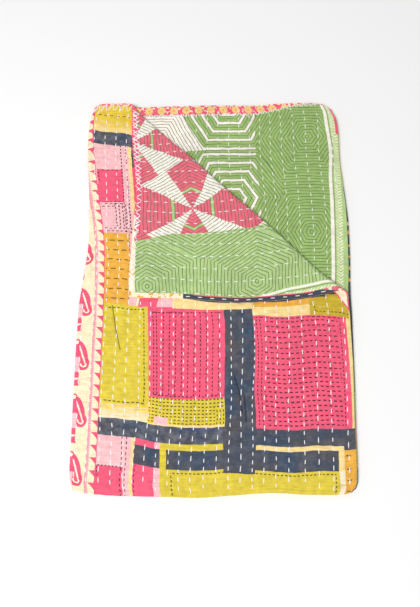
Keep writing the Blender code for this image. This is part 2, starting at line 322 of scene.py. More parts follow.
        outer_share = (outer / self.front_radius + 1.0) / 2.0
        near, far = (TOP, SECOND) if u > 0.0 else (UNDERNEATH, THIRD)
        right_inset = far.right_hem + (near.right_hem - far.right_hem) * outer_share
        uneven = follow(SECOND_TUCKED, y) if u > 0.0 else -follow(THIRD_OUT, y)
        right_inset += uneven * (1.0 - outer_share)
        back_inset = far.back_hem + (near.back_hem - far.back_hem) * outer_share
        if u > 0.0 and v > 0.0:
            x, y, lift = self.turn_corner(x, y)
            z += lift
        across = clamp(x / self.width + 0.5, 0.0, 1.0)
        along = clamp(y / self.length + 0.5, 0.0, 1.0)
        out_right = follow(RIGHT_HEM, y) - right_inset
        out_back = follow(BACK_HEM, x) - back_inset * across
        warped_x = x + across * out_right - (1.0 - across) * follow(LEFT_FOLD, y)
        out_front = follow(FRONT_FOLD, x) + self.under_pair_out * left_turn / math.pi
        warped_y = y + along * out_back - (1.0 - along) * out_front
        raised = max(z - self.thickness, 0.0)
        return Vector((warped_x, warped_y, z + raised * self.wave_height(x, y) + self.lift(x, y)))

    def surface(self, u: float, v: float) -> tuple[Vector, Vector]:
        """Return the middle of the cloth at one place, and the direction that Face A faces there.

        Args:
            u: The place across the unfolded sheet.
            v: The place along it.

        Returns:
            The place and the direction, in the frame.
        """
        step = 0.0004
        toward_u = -step if u > SIDE_HEM - 0.001 else step
        toward_v = -step if v > END_HEM - 0.001 else step
        here = self.folded(u, v)
        across = (self.folded(u + toward_u, v) - here) / toward_u
        along = (self.folded(u, v + toward_v) - here) / toward_v
        return here, across.cross(along).normalized()


# ----------------------------------------
# The quilting's relief

Row = namedtuple("Row", "across pitch first")

# Each row of running stitches: its distance from the left fold, its stitches' pitch and the first one's place
STITCH_ROWS = (
    Row(0.010, 0.0240, 0.0091), Row(0.035, 0.0177, 0.0106), Row(0.061, 0.0200, 0.0096),
    Row(0.086, 0.0190, 0.0081), Row(0.111, 0.0217, 0.0195), Row(0.137, 0.0172, 0.0116),
    Row(0.160, 0.0218, 0.0108), Row(0.184, 0.0163, 0.0153), Row(0.210, 0.0207, 0.0055),
    Row(0.233, 0.0174, 0.0167), Row(0.258, 0.0205, 0.0141), Row(0.285, 0.0166, 0.0057),
    Row(0.311, 0.0215, 0.0095), Row(0.337, 0.0176, 0.0174), Row(0.362, 0.0223, 0.0071),
    Row(0.387, 0.0165, 0.0130), Row(0.412, 0.0211, 0.0029), Row(0.437, 0.0179, 0.0144),
    Row(0.463, 0.0200, 0.0062), Row(0.492, 0.0189, 0.0075), Row(0.522, 0.0225, 0.0181),
    Row(0.552, 0.0193, 0.0127), Row(0.585, 0.0243, 0.0228),
)
ROW_PLACES = tuple(row.across for row in STITCH_ROWS)
# How far the middle rows, the first column's rows and the rows on the right drift, by the place along them
ROW_DRIFT = (
    (0.020, -0.0055), (0.100, -0.0030), (0.180, 0.0030), (0.260, 0.0020), (0.340, 0.0010), (0.420, 0.0),
)
LEFT_DRIFT = (
    (0.400, 0.0), (0.420, -0.0018), (0.456, -0.004), (0.493, -0.007), (0.530, -0.015), (0.549, -0.0185),
    (0.567, -0.019), (0.900, -0.019),
)
RIGHT_DRIFT = (
    (0.020, -0.0055), (0.100, -0.0030), (0.180, -0.0040), (0.260, 0.0), (0.340, 0.0010), (0.420, 0.0),
)
# The handling creases of the top layer, the sharpest first
# how many of the creases, from the sharpest, also get a painted shade line in Face A's colour
SHARP_CREASES = 5
CREASES = (
    Crease(u0=0.075, v0=0.398, u1=0.085, v1=0.345, width=0.0018, depth=0.0030),
    Crease(u0=0.085, v0=0.345, u1=0.097, v1=0.300, width=0.0020, depth=0.0020),
    Crease(u0=0.344, v0=0.245, u1=0.356, v1=0.205, width=0.0020, depth=0.0026),
    Crease(u0=0.356, v0=0.205, u1=0.362, v1=0.165, width=0.0022, depth=0.0032),
    Crease(u0=0.366, v0=0.200, u1=0.371, v1=0.146, width=0.0022, depth=0.0030),
    Crease(u0=0.214, v0=0.285, u1=0.229, v1=0.250, width=0.0060, depth=0.0009),
    Crease(u0=0.229, v0=0.250, u1=0.236, v1=0.215, width=0.0070, depth=0.0009),
    Crease(u0=0.270, v0=0.060, u1=0.330, v1=0.020, width=0.0090, depth=0.0008),
)


@dataclass(frozen=True)
class QuiltedRelief:
    """How the stitching and handling raise and draw in the cloth."""

    wander: float = 0.0014
    wander_length: float = 0.110
    drawn_in: float = 0.45
    drawn_reach: float = 0.0075
    pucker: float = 0.00088
    pucker_reach: float = 0.0110
    ripple_slant: float = 0.013
    uneven_size: float = 0.05
    beat_share: float = 0.25
    hem_thickness: float = 0.70
    hem_reach: float = 0.004
    rumples: tuple = ((0.075, 0.0011), (0.030, 0.00066), (0.013, 0.00032))

    def row_place(self, row: int, v: float) -> float:
        """Return how far from the left fold one stitch row runs at a place along it.

        Args:
            row: The row's number, from the left fold.
            v: The place along the sheet.

        Returns:
            The distance from the left fold.
        """
        across = STITCH_ROWS[row].across
        place = across + self.wander * noise.noise(Vector((row * 7.3, v / self.wander_length, 0.5)))
        if v > 0.0:
            right = ease((across - 0.320) / 0.040)
            drift = follow(ROW_DRIFT, v) * (1.0 - right) + follow(RIGHT_DRIFT, v) * right
            place += drift * ease((across - 0.110) / 0.030) * ease((0.490 - across) / 0.030)
            place += follow(LEFT_DRIFT, v) * ease((0.190 - across) / 0.040)
        return place

    def nearest_row(self, u: float, v: float) -> tuple[int, float]:
        """Return the nearest stitch row and how far off it is.

        Args:
            u: The place across the unfolded sheet.
            v: The place along it.

        Returns:
            The row's number, and the distance to its right.
        """
        place = bisect_left(ROW_PLACES, abs(u))
        near = [row for row in (place - 1, place) if 0 <= row < len(STITCH_ROWS)]
        return min(((row, abs(u) - self.row_place(row, v)) for row in near), key=lambda r: abs(r[1]))

    @staticmethod
    def pitch(row: int, v: float) -> float:
        """Return how far apart a row's stitches are, in front of the front fold and behind it."""
        return STITCH_ROWS[row].pitch if v > 0.0 else 0.0195

    def beat(self, row: int, v: float) -> float:
        """Return how many stitches a place along a row is past the middle of its first one."""
        return (abs(v) - STITCH_ROWS[row].first) / self.pitch(row, v)

    def thickness_share(self, u: float, v: float) -> float:
        """Return how thick the cloth is at one place, as a share of its full thickness.

        Args:
            u: The place across the unfolded sheet.
            v: The place along it.

        Returns:
            The share.
        """
        row, off = self.nearest_row(u, v)
        drawn = math.exp(-((off / self.drawn_reach) ** 2))
        stitch = 0.5 + 0.5 * math.cos(2.0 * math.pi * self.beat(row, v))
        hem = min(SIDE_HEM - abs(u), END_HEM - abs(v))
        full = self.hem_thickness + 0.30 * ease(hem / self.hem_reach)
        return (1.0 - drawn * (self.drawn_in + self.beat_share * stitch)) * full

    def height(self, u: float, v: float) -> float:
        """Return how far the cloth stands out towards Face A at one place.

        Args:
            u: The place across the unfolded sheet.
            v: The place along it.

        Returns:
            The height.
        """
        row, off = self.nearest_row(u, v)
        ripple = math.sin(2.0 * math.pi * self.beat(row, v) + 3.0 * off / self.ripple_slant)
        uneven = 0.6 + 0.8 * noise.noise(Vector((u / self.uneven_size, v / self.uneven_size, 4.0)))
        height = self.pucker * uneven * ripple * math.exp(-((off / self.pucker_reach) ** 2))
        for index, (length, swing) in enumerate(self.rumples):
            height += swing * noise.noise(Vector((u / length, v / length, 11.0 + 5.0 * index)))
        return height - self.crease_depth(u, v)

    @staticmethod
    def crease_depth(u: float, v: float) -> float:
        """Return how deep the nearest handling creases are at one place.

        Args:
            u: The place across the unfolded sheet.
            v: The place along it.

        Returns:
            The depth, 0 on the hidden layers.
        """
        depth = 0.0
        if u < 0.0 or v < 0.0:
            return depth
        for crease in CREASES:
            start = Vector((crease.u0, crease.v0))
            run = Vector((crease.u1, crease.v1)) - start
            place = Vector((u, v)) - start
            share = clamp(place.dot(run) / run.length_squared, 0.0, 1.0)
            off = (place - run * share).length
            if off < 3.0 * crease.width:
                depth = max(depth, crease.depth * math.exp(-((off / crease.width) ** 2)))
        return depth


# ----------------------------------------
# Where the print lies on the cloth

# Where two of the patchwork's upright lines run: the inner edge of the border, and the line 53 mm in
BORDER_LINE = (
    (0.000, 0.049), (0.036, 0.0545), (0.060, 0.0555), (0.110, 0.0565), (0.200, 0.057), (0.300, 0.057),
    (0.400, 0.056), (0.450, 0.051), (0.500, 0.044), (0.560, 0.036), (0.640, 0.026), (0.700, 0.020),
    (0.780, 0.015), (0.850, 0.011), (0.900, 0.008),
)
INNER_LINE = (
    (0.000, 0.106), (0.050, 0.109), (0.100, 0.110), (0.400, 0.111), (0.450, 0.106), (0.560, 0.095),
    (0.640, 0.089), (0.700, 0.087), (0.780, 0.0855), (0.900, 0.085),
)
# How far the other upright seams slip to the right, by the place along them
UprightSeam = namedtuple("UprightSeam", "across slips")
UPRIGHT_SEAMS = (
    UprightSeam(0.110, ((0.000, 0.0), (0.900, 0.0))),
    UprightSeam(0.157, (
        (0.000, -0.0050), (0.060, -0.0020), (0.120, 0.0005), (0.150, 0.0030), (0.210, 0.0045),
        (0.250, 0.0030), (0.300, 0.0005), (0.350, -0.0020), (0.400, -0.0050), (0.420, 0.0),
    )),
    UprightSeam(0.200, ((0.000, 0.0), (0.100, -0.0015), (0.200, 0.0010), (0.400, -0.0010), (0.420, 0.0))),
    UprightSeam(0.323, (
        (0.000, 0.0), (0.100, -0.0020), (0.150, 0.0020), (0.210, 0.0), (0.350, 0.0010), (0.390, -0.0025),
        (0.420, 0.0),
    )),
    UprightSeam(0.388, (
        (0.000, 0.0), (0.100, 0.0), (0.140, 0.0035), (0.210, -0.0010), (0.250, 0.0), (0.300, 0.0016),
        (0.350, -0.0020), (0.390, -0.0045), (0.420, 0.0),
    )),
    UprightSeam(0.570, (
        (0.000, 0.0030), (0.060, 0.0), (0.140, 0.0022), (0.230, 0.0015), (0.370, -0.0025), (0.420, 0.0),
    )),
)
# How far the cross seams slip towards the front, by the place across, and how much of that shows along them
SEAM_LEAN = (
    (0.000, 0.000), (0.057, 0.000), (0.130, -0.003), (0.160, -0.008), (0.200, -0.013),
    (0.323, -0.015), (0.600, -0.015),
)
LEAN_WEIGHT = ((0.000, 1.0), (0.155, 1.0), (0.207, 0.60), (0.400, 0.0), (0.900, 0.0))
SIDE_WAVE = ((0.388, 0.000), (0.450, -0.005), (0.525, 0.001), (0.590, -0.005), (0.600, -0.005))
FRONT_LEAN = ((0.330, 0.000), (0.390, -0.006), (0.600, -0.006))
FRONT_WEIGHT = ((0.000, 1.0), (0.060, 1.0), (0.085, 0.0))
BACK_LEAN = ((0.010, 0.010), (0.030, 0.005), (0.050, 0.002), (0.100, 0.0))
BACK_WEIGHT = ((0.740, 0.0), (0.790, 1.0))
FLAP_SAG = ((0.210, 0.000), (0.320, -0.012), (0.385, -0.014), (0.450, -0.010), (0.500, -0.004), (0.560, 0.0))
SAG_WEIGHT = ((0.376, 0.0), (0.402, 1.0), (0.450, 1.0), (0.520, 0.0))
CORNER_LEAN = (
    (0.510, 0.0), (0.549, 0.0009), (0.574, 0.0031), (0.585, 0.0046), (0.592, 0.0037), (0.599, 0.0),
)
CORNER_WEIGHT = ((0.0, 1.0), (0.9, 0.0))
EVEN_WEIGHT = ((0.0, 1.0), (0.9, 1.0))
SLIPS = (
    (CORNER_WEIGHT, CORNER_LEAN), (LEAN_WEIGHT, SEAM_LEAN), (EVEN_WEIGHT, SIDE_WAVE),
    (FRONT_WEIGHT, FRONT_LEAN), (BACK_WEIGHT, BACK_LEAN), (SAG_WEIGHT, FLAP_SAG),
)
BORDER_WIDTH = 0.057
INNER_WIDTH = 0.110
FIRST_COLUMN_ENDS = 0.200
# How far the green print has crept to the right and to the back on the turned corner, every 100 mm from
# (100, 400) mm, in millimetres
CORNER_CREEP = (
    ((0.0, 0.0), (3.0, 2.0), (7.0, 6.0), (10.0, 9.0), (12.0, 9.0), (14.6, 7.0)),
    ((0.0, 0.0), (2.0, 1.0), (7.0, 6.0), (9.5, 8.5), (11.5, 9.5), (14.6, 8.2)),
    ((0.0, 0.0), (2.0, 1.0), (7.0, 6.0), (10.9, 8.6), (14.5, 11.0), (14.6, 13.1)),
    ((0.0, 0.0), (2.0, 1.0), (6.0, 4.5), (11.6, 6.6), (12.1, 8.5), (13.4, 14.9)),
    ((0.0, 0.0), (2.0, -0.7), (4.3, 0.1), (8.6, 3.2), (11.3, 7.0), (7.4, 15.2)),
    ((0.5, -1.0), (1.4, -2.0), (2.8, -3.6), (5.6, -2.1), (8.0, 10.0), (-2.0, 19.0)),
)


def upright_slip(off: float, along: float) -> float:
    """Return how far the upright seams have slipped to the right at one place.

    Args:
        off: The distance from the left fold.
        along: The distance from the front fold.

    Returns:
        The slip.
    """
    if off <= UPRIGHT_SEAMS[0].across:
        return 0.0
    for left, right in zip(UPRIGHT_SEAMS, UPRIGHT_SEAMS[1:]):
        if off <= right.across:
            share = (off - left.across) / (right.across - left.across)
            return follow(left.slips, along) * (1.0 - share) + follow(right.slips, along) * share
    return follow(UPRIGHT_SEAMS[-1].slips, along)


def print_place(u: float, v: float) -> tuple[float, float]:
    """Return the place on Face A's print that lies at one place of the cloth.

    Args:
        u: The place across the unfolded sheet.
        v: The place along it.

    Returns:
        The place across the print and along it, from the folds.
    """
    along = abs(v)
    border, inner = follow(BORDER_LINE, along), follow(INNER_LINE, along)
    off = abs(u)
    if u < 0.0:
        across = BORDER_WIDTH - border - off
    elif off <= border:
        across = BORDER_WIDTH + off - border
    elif off <= inner:
        across = BORDER_WIDTH + (off - border) / (inner - border) * (INNER_WIDTH - BORDER_WIDTH)
    else:
        settled = ease((FIRST_COLUMN_ENDS - off) / (FIRST_COLUMN_ENDS - inner))
        across = off - (inner - INNER_WIDTH) * settled - upright_slip(off, along)
    return across, along - sum(follow(weight, along) * follow(lean, off) for weight, lean in SLIPS)


def green_place(cloth: FoldedCloth, u: float, v: float) -> tuple[float, float]:
    """Return the place on Face B's print that lies at one place of the cloth.

    Args:
        cloth: How the cloth is folded.
        u: The place across the unfolded sheet.
        v: The place along it.

    Returns:
        The place across the print and along it.
    """
    if u < 0.0 or v < 0.0:
        return u, v
    start = math.pi * cloth.tight_roll / 2
    turned = ease(cloth.beyond_crease(u, v) / start)
    column, row = clamp(u * 10.0 - 1.0, 0.0, 4.999), clamp(v * 10.0 - 4.0, 0.0, 4.999)
    i, j = int(column), int(row)
    creep = [0.0, 0.0]
    for way in (0, 1):
        near, far = (
            CORNER_CREEP[k][i][way] * (i + 1 - column) + CORNER_CREEP[k][i + 1][way] * (column - i)
            for k in (j, j + 1)
        )
        creep[way] = (near * (j + 1 - row) + far * (row - j)) / 1000.0
    return u + creep[0] * turned, v + creep[1] * turned


# ----------------------------------------
# The shader tools


class Value:
    """A number or vector socket whose arithmetic adds Math nodes."""

    def __init__(self, tree: bpy.types.NodeTree, socket: bpy.types.NodeSocket) -> None:
        """Wrap one output socket of a node tree."""
        self.tree = tree
        self.socket = socket

    def _math(self, operation: str, *operands: "Value | float") -> "Value":
        """Add one Math node and return its result.

        Args:
            operation: What it works out.
            operands: Its inputs, in order.

        Returns:
            The result.
        """
        node = self.tree.nodes.new("ShaderNodeMath")
        node.operation = operation
        for socket, operand in zip(node.inputs, operands):
            if isinstance(operand, Value):
                self.tree.links.new(operand.socket, socket)
            else:
                socket.default_value = operand
        return Value(self.tree, node.outputs[0])

    def __add__(self, other: "Value | float") -> "Value":
        """Return the sum."""
        return self._math("ADD", self, other)

    __radd__ = __add__

    def __sub__(self, other: "Value | float") -> "Value":
        """Return the difference."""
        return self._math("SUBTRACT", self, other)

    def __rsub__(self, other: float) -> "Value":
        """Return the difference from a number."""
        return self._math("SUBTRACT", other, self)

    def __mul__(self, other: "Value | float") -> "Value":
        """Return the product."""
        return self._math("MULTIPLY", self, other)

    __rmul__ = __mul__

    def __truediv__(self, other: "Value | float") -> "Value":
        """Return the quotient."""
        return self._math("DIVIDE", self, other)

    def __gt__(self, other: "Value | float") -> "Value":
        """Return 1 where this is the greater, or else 0."""
        return self._math("GREATER_THAN", self, other)

    def __lt__(self, other: "Value | float") -> "Value":
        """Return 1 where this is the lesser, or else 0."""
        return self._math("LESS_THAN", self, other)

    def __abs__(self) -> "Value":
        """Return the size without its sign."""
        return self._math("ABSOLUTE", self)

    def least(self, other: "Value | float") -> "Value":
        """Return the lesser of the two."""
        return self._math("MINIMUM", self, other)

    def most(self, other: "Value | float") -> "Value":
        """Return the greater of the two."""
        return self._math("MAXIMUM", self, other)

    def near(self, middle: "Value | float", reach: float) -> "Value":
        """Return 1 within reach of a middle, or else 0."""
        return self._math("COMPARE", self, middle, reach)

    def between(self, low: float, high: float) -> "Value":
        """Return 1 between two limits, or else 0."""
        return self.near((low + high) / 2, (high - low) / 2)

    def part(self) -> "Value":
        """Return the fraction past the last whole number."""
        return self._math("FRACT", self)

    def whole(self) -> "Value":
        """Return the last whole number."""
        return self._math("FLOOR", self)

    def wrap(self, high: float, low: float) -> "Value":
        """Return the number wrapped between two limits."""
        return self._math("WRAP", self, high, low)

    def root(self) -> "Value":
        """Return the square root."""
        return self._math("SQRT", self)


Setting = Value | float | tuple


@dataclass(frozen=True)
class Wear:
    """How uneven one face's dye is: the sizes of its patches, how strong each is, and the weave."""

    mottle: float
    streak: float
    broad: float
    mottle_size: float
    broad_size: float
    weave_size: float = 0.0011
    relief: float = 0.0006


class Weaver:
    """Builds one node-based cotton or thread material."""

    gloss = 0.18
    sheen = 0.12
    sheen_roughness = 0.5

    def __init__(self, name: str) -> None:
        """Start a material that has only a Principled shader and its output.

        Args:
            name: The material's name.
        """
        self.material = bpy.data.materials.new(name)
        self.material.use_nodes = True
        self.tree = self.material.node_tree
        self.shader = self.tree.nodes["Principled BSDF"]

    def node(self, kind: str, settings: dict, inputs: dict, output: int | str = 0) -> Value:
        """Add one node.

        Args:
            kind: The node's type.
            settings: Its properties, which are set first.
            inputs: Its sockets' values or links, by name or index.
            output: Which of its outputs to return.

        Returns:
            That output.
        """
        node = self.tree.nodes.new(kind)
        for name, value in settings.items():
            setattr(node, name, value)
        for name, value in inputs.items():
            if isinstance(value, Value):
                self.tree.links.new(value.socket, node.inputs[name])
            else:
                node.inputs[name].default_value = value
        return Value(self.tree, node.outputs[output])

    def place(self, layer: str) -> tuple[Value, Value, Value]:
        """Return one UV layer's two coordinates in metres, and both as a vector.

        Args:
            layer: The UV layer.

        Returns:
            The place across, the place along, and both.
        """
        both = self.node("ShaderNodeUVMap", {"uv_map": layer}, {})
        split = self.tree.nodes.new("ShaderNodeSeparateXYZ")
        self.tree.links.new(both.socket, split.inputs[0])
        return Value(self.tree, split.outputs[0]), Value(self.tree, split.outputs[1]), both

    def speckle(self, vector: Value, size: float, detail: float = 2.0, turned: tuple = (1.0, 1.0)) -> Value:
        """Return even noise from 0 to 1.

        Args:
            vector: The place that it is read at.
            size: The size of its spots, in metres.
            detail: How many finer layers it has.
            turned: How much it is squeezed across and along.

        Returns:
            The noise.
        """
        scaled = self.node(
            "ShaderNodeVectorMath", {"operation": "MULTIPLY"},
            {0: vector, 1: (turned[0] / size, turned[1] / size, 1.0 / size)},
        )
        return self.node("ShaderNodeTexNoise", {}, {"Vector": scaled, "Scale": 1.0, "Detail": detail})

    def mix(self, share: Value | float, first: Setting, second: Setting, way: str = "MIX") -> Value:
        """Return a mix of two colours.

        Args:
            share: How much of the second there is.
            first: The first colour.
            second: The second colour.
            way: How they are blended.

        Returns:
            The mix.
        """
        node = self.tree.nodes.new("ShaderNodeMix")
        node.data_type = "RGBA"
        node.blend_type = way
        for socket, value in zip((node.inputs[0], node.inputs[6], node.inputs[7]), (share, first, second)):
            if isinstance(value, Value):
                self.tree.links.new(value.socket, socket)
            else:
                socket.default_value = value
        return Value(self.tree, node.outputs[2])

    @staticmethod
    def pick(share: Value, first: Value | float, second: Value | float) -> Value:
        """Return the first number where the share is 0 and the second where it is 1."""
        return share * (second - first) + first

    def worn(self, colour: Value, wear: Wear, place: Value, streak: Value) -> bpy.types.Material:
        """Add the weave and the uneven dye of one face.

        Args:
            colour: The print's colour.
            wear: How uneven the dye is.
            place: The place on the cloth.
            streak: The streaks of its uneven threads.

        Returns:
            The material.
        """
        mottle = self.speckle(place, wear.mottle_size, 4.0)
        broad = self.speckle(place, wear.broad_size, 2.0)
        change = (mottle - 0.5) * wear.mottle + (streak - 0.5) * wear.streak + (broad - 0.5) * wear.broad
        colour = self.node(
            "ShaderNodeVectorMath", {"operation": "SCALE"}, {0: colour, "Scale": change + 1.0}
        )
        across, along = (self.speckle(place, wear.weave_size, 1.0, way) for way in ((0.3, 1.0), (1.0, 0.3)))
        relief = (across + along) * 0.5 + mottle * 0.8
        return self.finish(colour, 0.80 + mottle * 0.12, relief, wear.relief)

    def finish(self, colour: Value, roughness: Value, height: Value, depth: float) -> bpy.types.Material:
        """Join colour, roughness and relief to the shader.

        Args:
            colour: The base colour.
            roughness: The roughness.
            height: The fine relief, from 0 to 1.
            depth: How high the relief is, in metres.

        Returns:
            The material.
        """
        relief = self.node(
            "ShaderNodeBump", {}, {"Strength": 1.0, "Distance": depth, "Height": height}
        )
        for name, value in (("Base Color", colour), ("Roughness", roughness), ("Normal", relief)):
            self.tree.links.new(value.socket, self.shader.inputs[name])
        self.shader.inputs["Specular IOR Level"].default_value = self.gloss
        self.shader.inputs["Sheen Weight"].default_value = self.sheen
        self.shader.inputs["Sheen Roughness"].default_value = self.sheen_roughness
        return self.material


def dye(red: int, green: int, blue: int) -> tuple[float, float, float, float]:
    """Return a display colour, given from 0 to 255, as the shader's own numbers.

    Args:
        red: Its red part.
        green: Its green part.
        blue: Its blue part.

    Returns:
        The colour, with its alpha.
    """
    parts = []
    for part in (red, green, blue):
        share = part / 255.0
        parts.append(share / 12.92 if share <= 0.04045 else ((share + 0.055) / 1.055) ** 2.4)
    return parts[0], parts[1], parts[2], 1.0


class Dye(Enum):
    """The colours of the printed cotton and the thread, with darker copies that paint shade in the creases
    and on the lower layers.
    """

    CRIMSON = dye(244, 96, 126)
    DEEP_PINK = dye(240, 92, 126)
    BLUSH = dye(250, 193, 196)
    GOLD = dye(236, 202, 68)
    OLIVE = dye(223, 201, 70)
    # a darker copy of the olive: painted shade where the cloth slopes away by the crease's right end
    PAINTED_SHADE_OLIVE = dye(202, 176, 54)
    MARIGOLD = dye(238, 177, 72)
    BUTTER = dye(248, 219, 150)
    CREAM = dye(252, 238, 206)
    CHARCOAL = dye(70, 76, 90)
    BLUE_BLACK = dye(56, 77, 101)
    BROWN_BLACK = dye(90, 84, 85)
    FADED_BLACK = dye(70, 74, 84)
    DUST = dye(138, 138, 146)
    # painted shade: near-black laid along the bottoms of the sharpest creases
    CREASE_SHADE = dye(22, 22, 24)
    MAROON = dye(84, 40, 58)
    BROWN_DASH = dye(78, 72, 42)
    GREEN = dye(178, 206, 138)
    # a darker copy of the green: painted shade on the layers under the turned corner
    PAINTED_SHADE_GREEN = dye(158, 190, 114)
    LINE = dye(96, 104, 68)
    LEAF = dye(236, 240, 196)
    ROSE = dye(235, 110, 130)
    IVORY = dye(248, 243, 230)
    THREAD = dye(255, 254, 255)
    THREAD_SHADE = dye(236, 232, 238)


# ----------------------------------------
# Face A: the patchwork print


class Run(Enum):
    """Which way a row of printed dashes runs."""

    ALONG = "along"
    ACROSS = "across"


Patch = namedtuple("Patch", "left right front back dye")
Fade = namedtuple("Fade", "left right front back from_dye to_dye")
Dashes = namedtuple("Dashes", "run left right front back pitch dash dye")
Bank = namedtuple("Bank", "run left right front back spacing pitch dash width stagger dye")

PATCHES = (
    # under the border and the first column, from the front
    Patch(0.057, 0.113, 0.000, 0.059, Dye.CRIMSON),
    Patch(0.057, 0.113, 0.059, 0.121, Dye.BLUSH),
    Patch(0.113, 0.128, 0.000, 0.121, Dye.BLUSH),
    Patch(0.128, 0.135, 0.000, 0.121, Dye.BUTTER),
    Patch(0.135, 0.178, 0.000, 0.0685, Dye.CRIMSON),
    Patch(0.178, 0.193, 0.000, 0.0685, Dye.BLUSH),
    Patch(0.134, 0.190, 0.0685, 0.107, Dye.CHARCOAL),
    Patch(0.135, 0.178, 0.107, 0.121, Dye.CRIMSON),
    Patch(0.178, 0.190, 0.107, 0.121, Dye.BLUSH),
    # the olive frame, its charcoal middle and the wide olive patch at the front
    Patch(0.190, 0.330, 0.068, 0.121, Dye.OLIVE),
    Patch(0.203, 0.330, 0.068, 0.107, Dye.CHARCOAL),
    # the charcoal bands and what they frame on the right
    Patch(0.057, 0.330, 0.120, 0.156, Dye.CHARCOAL),
    Patch(0.388, 0.600, 0.057, 0.146, Dye.CHARCOAL),
    Patch(0.190, 0.563, 0.000, 0.068, Dye.OLIVE),
    Patch(0.390, 0.575, 0.1025, 0.112, Dye.BUTTER),
    Patch(0.563, 0.575, 0.000, 0.112, Dye.BUTTER),
    Patch(0.564, 0.575, 0.042, 0.068, Dye.CREAM),
    Patch(0.564, 0.575, 0.000, 0.038, Dye.CREAM),
    Patch(0.575, 0.600, 0.000, 0.103, Dye.MARIGOLD),
    # the middle
    Patch(0.057, 0.157, 0.187, 0.401, Dye.OLIVE),
    Patch(0.157, 0.325, 0.154, 0.207, Dye.BUTTER),
    Patch(0.162, 0.325, 0.158, 0.207, Dye.OLIVE),
    Patch(0.157, 0.1695, 0.156, 0.207, Dye.GOLD),
    Patch(0.157, 0.325, 0.207, 0.400, Dye.CRIMSON),
    Patch(0.270, 0.325, 0.398, 0.4035, Dye.CRIMSON),
    Patch(0.388, 0.600, 0.146, 0.400, Dye.BUTTER),
    Patch(0.388, 0.5925, 0.146, 0.3765, Dye.CRIMSON),
    Patch(0.323, 0.388, 0.060, 0.395, Dye.CHARCOAL),
    # the short row behind them
    Patch(0.110, 0.128, 0.401, 0.567, Dye.BLUSH),
    Patch(0.128, 0.134, 0.401, 0.567, Dye.CREAM),
    Patch(0.133, 0.176, 0.398, 0.420, Dye.CRIMSON),
    Patch(0.176, 0.208, 0.398, 0.420, Dye.BLUSH),
    Patch(0.208, 0.388, 0.395, 0.418, Dye.BUTTER),
    Patch(0.112, 0.232, 0.419, 0.434, Dye.BUTTER),
    Patch(0.388, 0.600, 0.400, 0.420, Dye.MARIGOLD),
    Patch(0.388, 0.515, 0.374, 0.401, Dye.BUTTER),
    # the olive by the crease's right end, here and in the two small patches below, is the darker copy:
    # painted shade
    Patch(0.515, 0.600, 0.373, 0.414, Dye.PAINTED_SHADE_OLIVE),
    Patch(0.232, 0.600, 0.417, 0.452, Dye.CHARCOAL),
    Patch(0.532, 0.552, 0.410, 0.4175, Dye.PAINTED_SHADE_OLIVE),
    Patch(0.552, 0.600, 0.410, 0.4245, Dye.PAINTED_SHADE_OLIVE),
    # the first column, further back
    Patch(0.057, 0.110, 0.401, 0.567, Dye.MARIGOLD),
    Patch(0.057, 0.128, 0.567, 0.786, Dye.BLUSH),
    Patch(0.0585, 0.1055, 0.642, 0.725, Dye.CRIMSON),
    Patch(0.0570, 0.1055, 0.642, 0.690, Dye.CRIMSON),
    Patch(0.120, 0.127, 0.625, 0.786, Dye.BUTTER),
    Patch(0.127, 0.190, 0.735, 0.786, Dye.CHARCOAL),
    Patch(0.127, 0.190, 0.600, 0.735, Dye.CRIMSON),
    Patch(0.057, 0.330, 0.786, 0.820, Dye.CHARCOAL),
    Patch(0.057, 0.330, 0.850, 0.892, Dye.GOLD),
    # under the turned corner, and on it
    Patch(0.134, 0.232, 0.434, 0.600, Dye.OLIVE),
    Patch(0.232, 0.388, 0.452, 0.640, Dye.CRIMSON),
    Patch(0.190, 0.388, 0.640, 0.786, Dye.MARIGOLD),
    Patch(0.388, 0.452, 0.452, 0.892, Dye.CHARCOAL),
    Patch(0.452, 0.600, 0.452, 0.690, Dye.CRIMSON),
    Patch(0.452, 0.600, 0.690, 0.740, Dye.BUTTER),
    Patch(0.452, 0.600, 0.740, 0.892, Dye.OLIVE),
    Patch(0.330, 0.388, 0.786, 0.892, Dye.BLUSH),
)
FADES = (
    Fade(0.057, 0.157, 0.156, 0.187, Dye.CREAM, Dye.GOLD),
    Fade(0.057, 0.330, 0.820, 0.851, Dye.BUTTER, Dye.GOLD),
)
